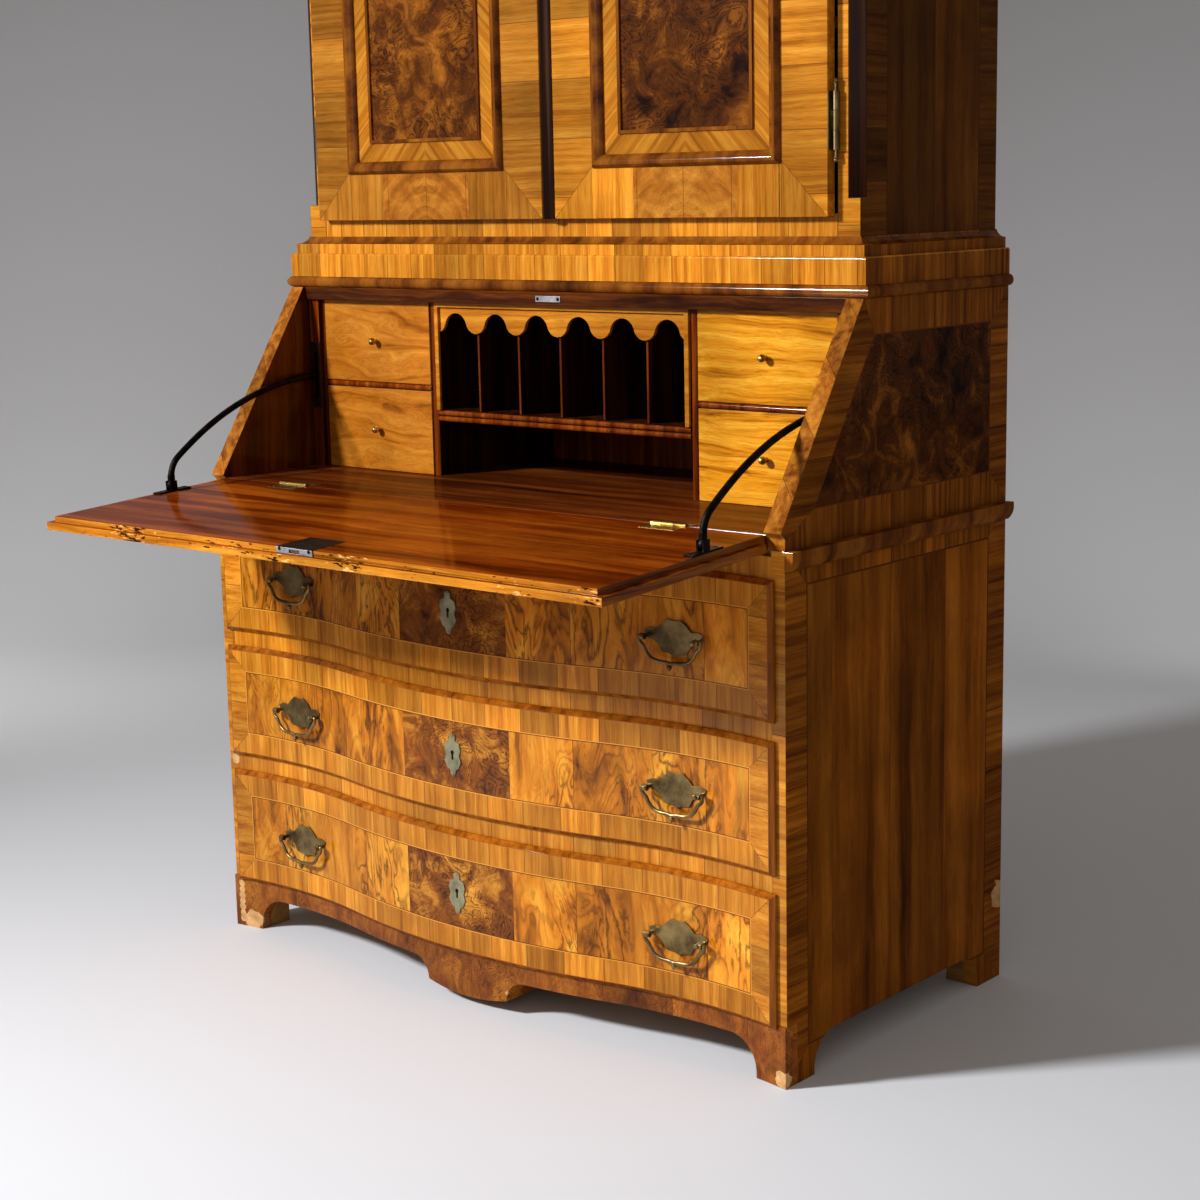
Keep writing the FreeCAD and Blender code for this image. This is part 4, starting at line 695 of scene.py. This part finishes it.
def dress_desk():
    """Slanted sides, bed, fall and gallery of the desk."""
    low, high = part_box("desk_sides")
    sides = ease("desk_sides", inner_wood)
    # Dark burr in a brown cross band that follows the slant, the band in the side walnut painted lighter as
    # light from the floor
    paint(sides, veneer("desk_side_veneer", "yz", low[1:], high[1:], SIDE_BAND, tones=SIDE_WALNUT_PAINTED_LIT,
                        slope=((low[1], low[2] + 24 * MM), SLOPE_WAY), heart=ALL_HEART, line=1.0 * MM,
                        string="#5e340f", gloss=0.57), faces_out)
    paint(sides, slope_wood, faces_front)
    boards = ease("desk_boards", bed_wood)
    paint(boards, top_edge_wood,
          lambda middle, way: faces_front(middle, way) and middle.z > low[2] + 0.2)
    fall = ease("fall_board", fall_wood)
    paint(fall, worn_edge, lambda middle, way: abs(way.z) < 0.8)
    paint(fall, end_wood, lambda middle, way: abs(way.x) > 0.6)
    fall_low, fall_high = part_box("fall_board")
    # The fall's outer face, curled all over, which shows when it is shut
    paint(fall, veneer("fall_veneer", "xy", fall_low[:2], fall_high[:2], SIDE_BAND, crotch=1.0,
                       leaf=270 * MM), lambda middle, way: way.z < -0.8)
    top = ease("desk_top_moulding", cross_moulding)
    paint(top, shaded_moulding, lambda middle, way: abs(way.x) > abs(way.y))
    for node in ("gallery_carcass", "pigeonhole_dividers"):
        # Painted shade on the inner faces, red-brown wood on the front edges
        paint(ease(node, painted_shade_inside), gallery_wood, faces_front)
    ease("pigeonhole_valance", valance_wood)
    for side in SIDES:
        for row in ("upper", "lower"):
            small = ease(f"gallery_drawer_{side}_{row}", drawer_wood)
            paint(small, gallery_fronts[side], faces_front)
            round_off(f"gallery_drawer_{side}_{row}_knob", bright_brass, 0.5 * MM)


def dress_cabinet():
    """Sides, base, cornice and doors of the upper cabinet."""
    low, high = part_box("cabinet_sides")
    sides = ease("cabinet_sides", upright_wood)
    # Sheets and string as on the chest, painted darker as shade
    paint(sides, veneer("cabinet_side_veneer", "yz", (low[1] + 14 * MM, low[2]), high[1:], SIDE_BAND,
                        field=SIDE_WALNUT_PAINTED_SHADE, tones=SIDE_WALNUT_PAINTED_SHADE, ring=30 * MM, leaf=140 * MM,
                        string="#3a1c06", gloss=0.57), faces_out)
    paint(sides, cant_wood, lambda middle, way: way.y < -0.3 and abs(way.x) > 0.3)
    paint(sides, stile_wood, lambda middle, way: way.y < -0.95)
    boards = ease("cabinet_boards", carcass_wood)
    paint(boards, frieze_wood, lambda middle, way: way.y < -0.9 and middle.y < low[1] + 20 * MM)
    base = ease("cabinet_base_moulding", frieze_wood)
    paint(base, cross_moulding, lambda middle, way: middle.z > BASE_BANDS and way.y > -0.98
          and abs(way.x) < 0.98)
    # The frieze's sides take the darker blocks as painted shade
    paint(base, frieze_side_painted_shade, faces_out)
    ease("cabinet_cornice", cornice_wood)
    # The left door's frame takes the walnut painted darker as shade, the right one the golden walnut
    for side, tones in zip(SIDES, (LEFT_WALNUT_PAINTED_SHADE, WALNUT)):
        low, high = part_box(f"door_{side}_frame")
        # Golden blocks, mitred at the corners, with a swirl in the middle of the rails
        ease(f"door_{side}_frame", veneer(
            f"door_{side}_veneer", "xz", (low[0], low[2]), (high[0], high[2]), FRAME_BAND, tones=tones,
            block=84 * MM, crown=((low[0] + high[0]) / 2, 92 * MM)))
        low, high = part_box(f"door_{side}_panel")
        # Dark burr in a feathered band
        ease(f"door_{side}_panel", veneer(
            f"door_{side}_burr", "xz", (low[0] + COVERED, low[2] + COVERED),
            (high[0] - COVERED, high[2] - COVERED), PANEL_BAND, block=500 * MM, heart=ALL_HEART,
            feather=True))
        mouldings = ease(f"door_{side}_mouldings", cross_moulding)
        paint(mouldings, side_moulding, lambda middle, way: abs(way.x) > 0.25)
    ease("door_astragal", stained_wood)


def dress_metal():
    """Hinges, handles, key plates, lock and stays."""
    for node in ("bed_hinge_leaves", "fall_hinge_leaves"):
        ease(node, bright_brass, METAL_ARRIS)
    for node in ("cabinet_hinge_leaves", "door_left_hinge_leaves", "door_right_hinge_leaves"):
        ease(node, brass, METAL_ARRIS)
    for word in DRAWERS:
        paint(ease(f"drawer_{word}_brasses", brass), key_brass, in_middle)
        for side in SIDES:
            round_off(f"drawer_{word}_bail_{side}", brass, 0.45 * MM)
    paint(ease("desk_ironwork", old_iron, METAL_ARRIS), steel, in_middle)
    paint(ease("fall_lock", iron, METAL_ARRIS), steel, lambda middle, way: way.y < -0.8)
    ease("stay_brackets", iron, METAL_ARRIS)
    for node in ("stay_left", "stay_right"):
        round_off(node, iron, 0.8 * MM)
    ease("fall_lock_bolt", steel, METAL_ARRIS)


# Turned and slotted small metal, set out by one Geometry Nodes tree

# Profiles of the turned heads: radius and height in mm
BUTTON = ((2.4, -1), (2.4, 0.2), (3.2, 0.6), (3.6, 1.4), (3.2, 2.2), (2.0, 2.8), (0, 3.0))
DROP = ((2.2, -2), (3.2, 0.6), (3.8, 2.2), (3.2, 4.2), (1.6, 6.6), (0, 8.4))
PIN = ((2.0, -0.4), (2.0, 0.3), (1.5, 1.0), (0.7, 1.3), (0, 1.4))
FINIAL = ((3.2, -0.5), (3.2, 0.5), (2.0, 1.2), (3.0, 2.6), (3.2, 3.6), (2.4, 5.0), (1.0, 6.2), (0, 6.6))
# Sides of a turned head, and steps round each half of a screw head
TURNED_SIDES = 18
HALF_STEPS = 12
# Seed of the random turn of each head
TURN_SEED = 3
# Places in mm: middles of the stays and handles from the desk's middle, and of the drawers' brasses
STAY = 521.5
HANDLE = 380
BRASS_LEVELS = {"upper": 595.5, "middle": 385, "lower": 175.5}
# The buttons sit a little inside the middle of their posts, clear of a bail that is lifted
BUTTON_PLACE = 41.6
PIN_PLACE = 28.5
# Where the search for a surface starts: in front of the case, and above the bed
AHEAD = -400
OVERHEAD = 900
DOWN, INWARD, UPWARD = (0, 0, -1), (0, 1, 0), (0, 0, 1)


def lathe(name, profile):
    """A turned head: pairs of radius and height in mm, spun round its own axis."""
    shape = bmesh.new()
    rows = []
    for radius, height in profile:
        turn = [2 * math.pi * n / TURNED_SIDES for n in range(TURNED_SIDES if radius else 1)]
        rows.append([shape.verts.new((radius * MM * math.cos(a), radius * MM * math.sin(a), height * MM))
                     for a in turn])
    for below, above in zip(rows, rows[1:]):
        for n in range(TURNED_SIDES):
            m = (n + 1) % TURNED_SIDES
            if len(above) == 1:
                shape.faces.new((below[n], below[m], above[0]))
            else:
                shape.faces.new((below[n], below[m], above[m], above[n]))
    shape.faces.new(rows[0][::-1])
    return put(name, mesh_from(name, shape))


def slotted(name, radius, slot, rise):
    """A screw head: two raised halves with the driver's slot between them, on a thin disc."""
    shape = bmesh.new()
    start = math.asin(slot / 2 / radius)
    count = HALF_STEPS + 1
    for side in (0, math.pi):
        angles = [side + start + (math.pi - 2 * start) * n / HALF_STEPS for n in range(count)]
        outline = [Vector((radius * math.cos(a), radius * math.sin(a), 0)) for a in angles]
        middle = sum(outline, Vector()) / len(outline)
        rows = []
        for share, height in ((1.0, -0.3 * MM), (1.0, rise * 0.6), (0.86, rise)):
            rows.append([shape.verts.new(middle.lerp(p, share) + Vector((0, 0, height))) for p in outline])
        for below, above in zip(rows, rows[1:]):
            for n in range(count):
                m = (n + 1) % count
                shape.faces.new((below[n], below[m], above[m], above[n]))
        shape.faces.new(rows[0][::-1])
        shape.faces.new(rows[2])
    disc = bmesh.ops.create_circle(shape, cap_ends=True, radius=radius * 0.97, segments=20)
    for vert in disc["verts"]:
        vert.co.z = 0.06 * MM
    return put(name, mesh_from(name, shape))


def stud_tree():
    """Puts a head on every point, standing along the point's own direction and turned at random."""
    tree = bpy.data.node_groups.new("set_out_studs", "GeometryNodeTree")
    for name, kind in (("Places", "Geometry"), ("Head", "Object"), ("Turn seed", "Int"),
                       ("Finish", "Material")):
        tree.interface.new_socket(name, in_out="INPUT", socket_type="NodeSocket" + kind)
    tree.interface.new_socket("Studs", in_out="OUTPUT", socket_type="NodeSocketGeometry")
    given = tree.nodes.new("NodeGroupInput").outputs
    head = add(tree, "GeometryNodeObjectInfo", {"Object": given["Head"]}, out="Geometry")
    facing = add(tree, "GeometryNodeInputNamedAttribute", {"Name": "facing"}, data_type="FLOAT_VECTOR")
    stand = add(tree, "FunctionNodeAlignRotationToVector", {"Vector": facing}, axis="Z")
    angle = add(tree, "FunctionNodeRandomValue", {2: 0.0, 3: math.pi, "Seed": given["Turn seed"]}, out=1)
    turn = add(tree, "FunctionNodeEulerToRotation", {0: add(tree, "ShaderNodeCombineXYZ", {2: angle})})
    stand = add(tree, "FunctionNodeRotateRotation", {0: stand, 1: turn}, rotation_space="LOCAL")
    studs = add(tree, "GeometryNodeInstanceOnPoints", {"Points": given["Places"], "Instance": head,
                                                       "Rotation": stand})
    whole = add(tree, "GeometryNodeRealizeInstances", {0: studs})
    done = add(tree, "GeometryNodeSetMaterial", {"Geometry": whole, "Material": given["Finish"]})
    tree.links.new(done, tree.nodes.new("NodeGroupOutput").inputs[0])
    return tree


def studs(tree, node, head, finish, way, spots):
    """Heads on a node's own surface, met from each spot along a direction; spots are in mm."""
    surface = surface_of(bpy.data.objects[node + "_dressed"].data)
    hits = [surface.ray_cast(Vector(spot) * MM, Vector(way)) for spot in spots]
    name = f"{node}_{head.name}"
    places = bpy.data.meshes.new(name)
    places.from_pydata([hit[0] for hit in hits], [], [])
    facing = places.attributes.new("facing", "FLOAT_VECTOR", "POINT")
    facing.data.foreach_set("vector", [c for _ in hits for c in -Vector(way)])
    piece = put(name, places)
    held = piece.modifiers.new("studs", "NODES")
    held.node_group = tree
    key = {item.name: item.identifier for item in tree.interface.items_tree}
    held[key["Head"]] = head
    held[key["Turn seed"]] = TURN_SEED
    held[key["Finish"]] = finish
    make_real(piece)
    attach(piece, body_of[node])


def both(*places):
    """Places on the right, after their mirrored twins on the left."""
    return [(side * x, y, z) for side in (-1, 1) for x, y, z in places]


def set_out_studs():
    """Screws, buttons, pins, drops and finials, each on the piece that holds it."""
    tree = stud_tree()
    screw = slotted("screws", 2.6 * MM, 0.8 * MM, 0.5 * MM)
    button = lathe("buttons", BUTTON)
    drop = lathe("drop", DROP)
    pin = lathe("pins", PIN)
    tops = lathe("top_finials", FINIAL)
    feet = lathe("foot_finials", FINIAL)
    for head, way, levels in ((tops, DOWN, (1340, 1890)), (feet, UPWARD, (1200, 1750))):
        studs(tree, "cabinet_hinge_leaves", head, brass, way, both(*[(503, 93.1, z) for z in levels]))
    studs(tree, "fall_lock", screw, iron, INWARD, both((29, -600, 725.5)))
    for node, y in (("fall_hinge_leaves", -126), ("bed_hinge_leaves", -86)):
        studs(tree, node, screw, brass, DOWN, both((350, y, OVERHEAD), (394, y, OVERHEAD)))
    studs(tree, "stay_brackets", screw, iron, DOWN, both((STAY, -248, OVERHEAD), (STAY, -200, OVERHEAD)))
    studs(tree, "desk_ironwork", screw, iron, INWARD,
          both((STAY, AHEAD, 849), (STAY, AHEAD, 945)) + both((20, AHEAD, 1029.5)))
    for word, level in BRASS_LEVELS.items():
        node = f"drawer_{word}_brasses"
        studs(tree, node, button, brass, INWARD,
              [(s * HANDLE + p, AHEAD, level) for s in (-1, 1) for p in (-BUTTON_PLACE, BUTTON_PLACE)])
        studs(tree, node, pin, key_brass, INWARD,
              [(0, AHEAD, level - PIN_PLACE), (0, AHEAD, level + PIN_PLACE)])
        for side, s in zip(SIDES, (-1, 1)):
            bail = f"drawer_{word}_bail_{side}"
            studs(tree, bail, drop, brass, UPWARD, [(s * HANDLE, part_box(bail)[0][1] / MM + 5, 0)])
    for head in (screw, button, drop, pin, tops, feet):
        bpy.data.objects.remove(head)


dress_chest()
dress_desk()
dress_cabinet()
dress_metal()
set_out_studs()


# Studio, in metres

# Pale paper, and the grey air that lights the shaded side
PAPER = "#d2d3d6"
AIR = "#dad3cc"
AIR_STRENGTH = 0.39
# The sheet: its front edge, the wall behind and its height, the cove between them and half its width
SHEET_FRONT = -7.0
WALL = 4.2
WALL_HEIGHT = 6.0
COVE = 1.6
HALF_SHEET = 9.0
SHEET_TURN = 40


def floor_and_backdrop():
    """One pale sheet: the floor and a wall far behind, joined by a round cove."""
    shape = bmesh.new()
    cove = [(WALL - COVE + COVE * math.sin(a), COVE - COVE * math.cos(a))
            for a in [math.radians(9 * n) for n in range(11)]]
    line = [(SHEET_FRONT, 0.0)] + cove + [(WALL, WALL_HEIGHT)]
    turn = Matrix.Rotation(math.radians(SHEET_TURN), 3, "Z")
    rows = [[shape.verts.new(turn @ Vector((x, y, z))) for y, z in line] for x in (-HALF_SHEET, HALF_SHEET)]
    for n in range(len(line) - 1):
        shape.faces.new((rows[0][n], rows[1][n], rows[1][n + 1], rows[0][n + 1]))
    sheet = mesh_from("studio_sheet", shape)
    floor = put("studio_floor", sheet)
    paper, _, shader = material("studio_paper")
    shader.inputs["Base Color"].default_value = srgb(PAPER)
    shader.inputs["Roughness"].default_value = 0.8
    sheet.materials.append(paper)
    for face in sheet.polygons:
        face.use_smooth = True


def lamp(name, place, target, size, power, spread=180, colour="#ffffff"):
    """A round soft lamp aimed at a target, with its power in watts and its spread in degrees."""
    light = bpy.data.lights.new(name, "AREA")
    light.shape = "DISK"
    light.size = size
    light.energy = power
    light.spread = math.radians(spread)
    light.color = srgb(colour)[:3]
    holder = put(name, light)
    holder.location = place
    aim = Vector(target) - Vector(place)
    holder.visible_camera = False
    holder.rotation_euler = aim.to_track_quat("-Z", "Y").to_euler()


def camera():
    """The photograph's camera, worked out from the carcass's edges and level lines."""
    yaw = math.radians(40.82)
    pitch = math.radians(10.63)
    roll = math.radians(-1.19)
    ahead = Vector((-math.sin(yaw) * math.cos(pitch), math.cos(yaw) * math.cos(pitch),
                    -math.sin(pitch)))
    right = Vector((math.cos(yaw), math.sin(yaw), 0))
    up = right.cross(ahead)
    right, up = (right * math.cos(roll) + up * math.sin(roll),
                 up * math.cos(roll) - right * math.sin(roll))
    eye = bpy.data.cameras.new("photo_camera")
    eye.sensor_fit = "HORIZONTAL"
    eye.sensor_width = 36
    eye.lens = 66.5
    holder = put("photo_camera", eye)
    place = Vector((2.206, -2.3731, 1.195))
    holder.matrix_world = Matrix.Translation(place) @ Matrix((right, up, -ahead)).transposed().to_4x4()
    bpy.context.scene.camera = holder


def world():
    """Even light from all round."""
    sky = bpy.data.worlds.new("studio_air")
    bpy.context.scene.world = sky
    sky.use_nodes = True
    background = sky.node_tree.nodes["Background"]
    background.inputs["Color"].default_value = srgb(AIR)
    background.inputs["Strength"].default_value = AIR_STRENGTH


floor_and_backdrop()
# The main light from the front left, which throws the shadow to the right
lamp("key_light", (-1.68, -2.78, 2.43), (1.1, 0.0, 0.25), 0.5, 72, 96, "#fafcff")
# Soft pools on the wall and floor at the left, and on the wall at the right
lamp("back_wash", (-2.4, -0.4, 1.0), (-3.3, 1.7, 0.0), 1.2, 8, 100)
lamp("floor_pool", (-2.0, 0.6, 2.2), (-2.0, 0.6, 0.0), 1.2, 2.6, 100)
lamp("right_wash", (0.09, 2.69, 0.8), (-1.0, 4.0, 0.0), 1.2, 2, 110)
# A weak wide lamp that lifts the shaded side
lamp("front_fill", (2.6, -3.6, 2.2), (0.0, 0.0, 0.8), 2.0, 10)
camera()
world()
bpy.context.scene.view_settings.view_transform = "Standard"
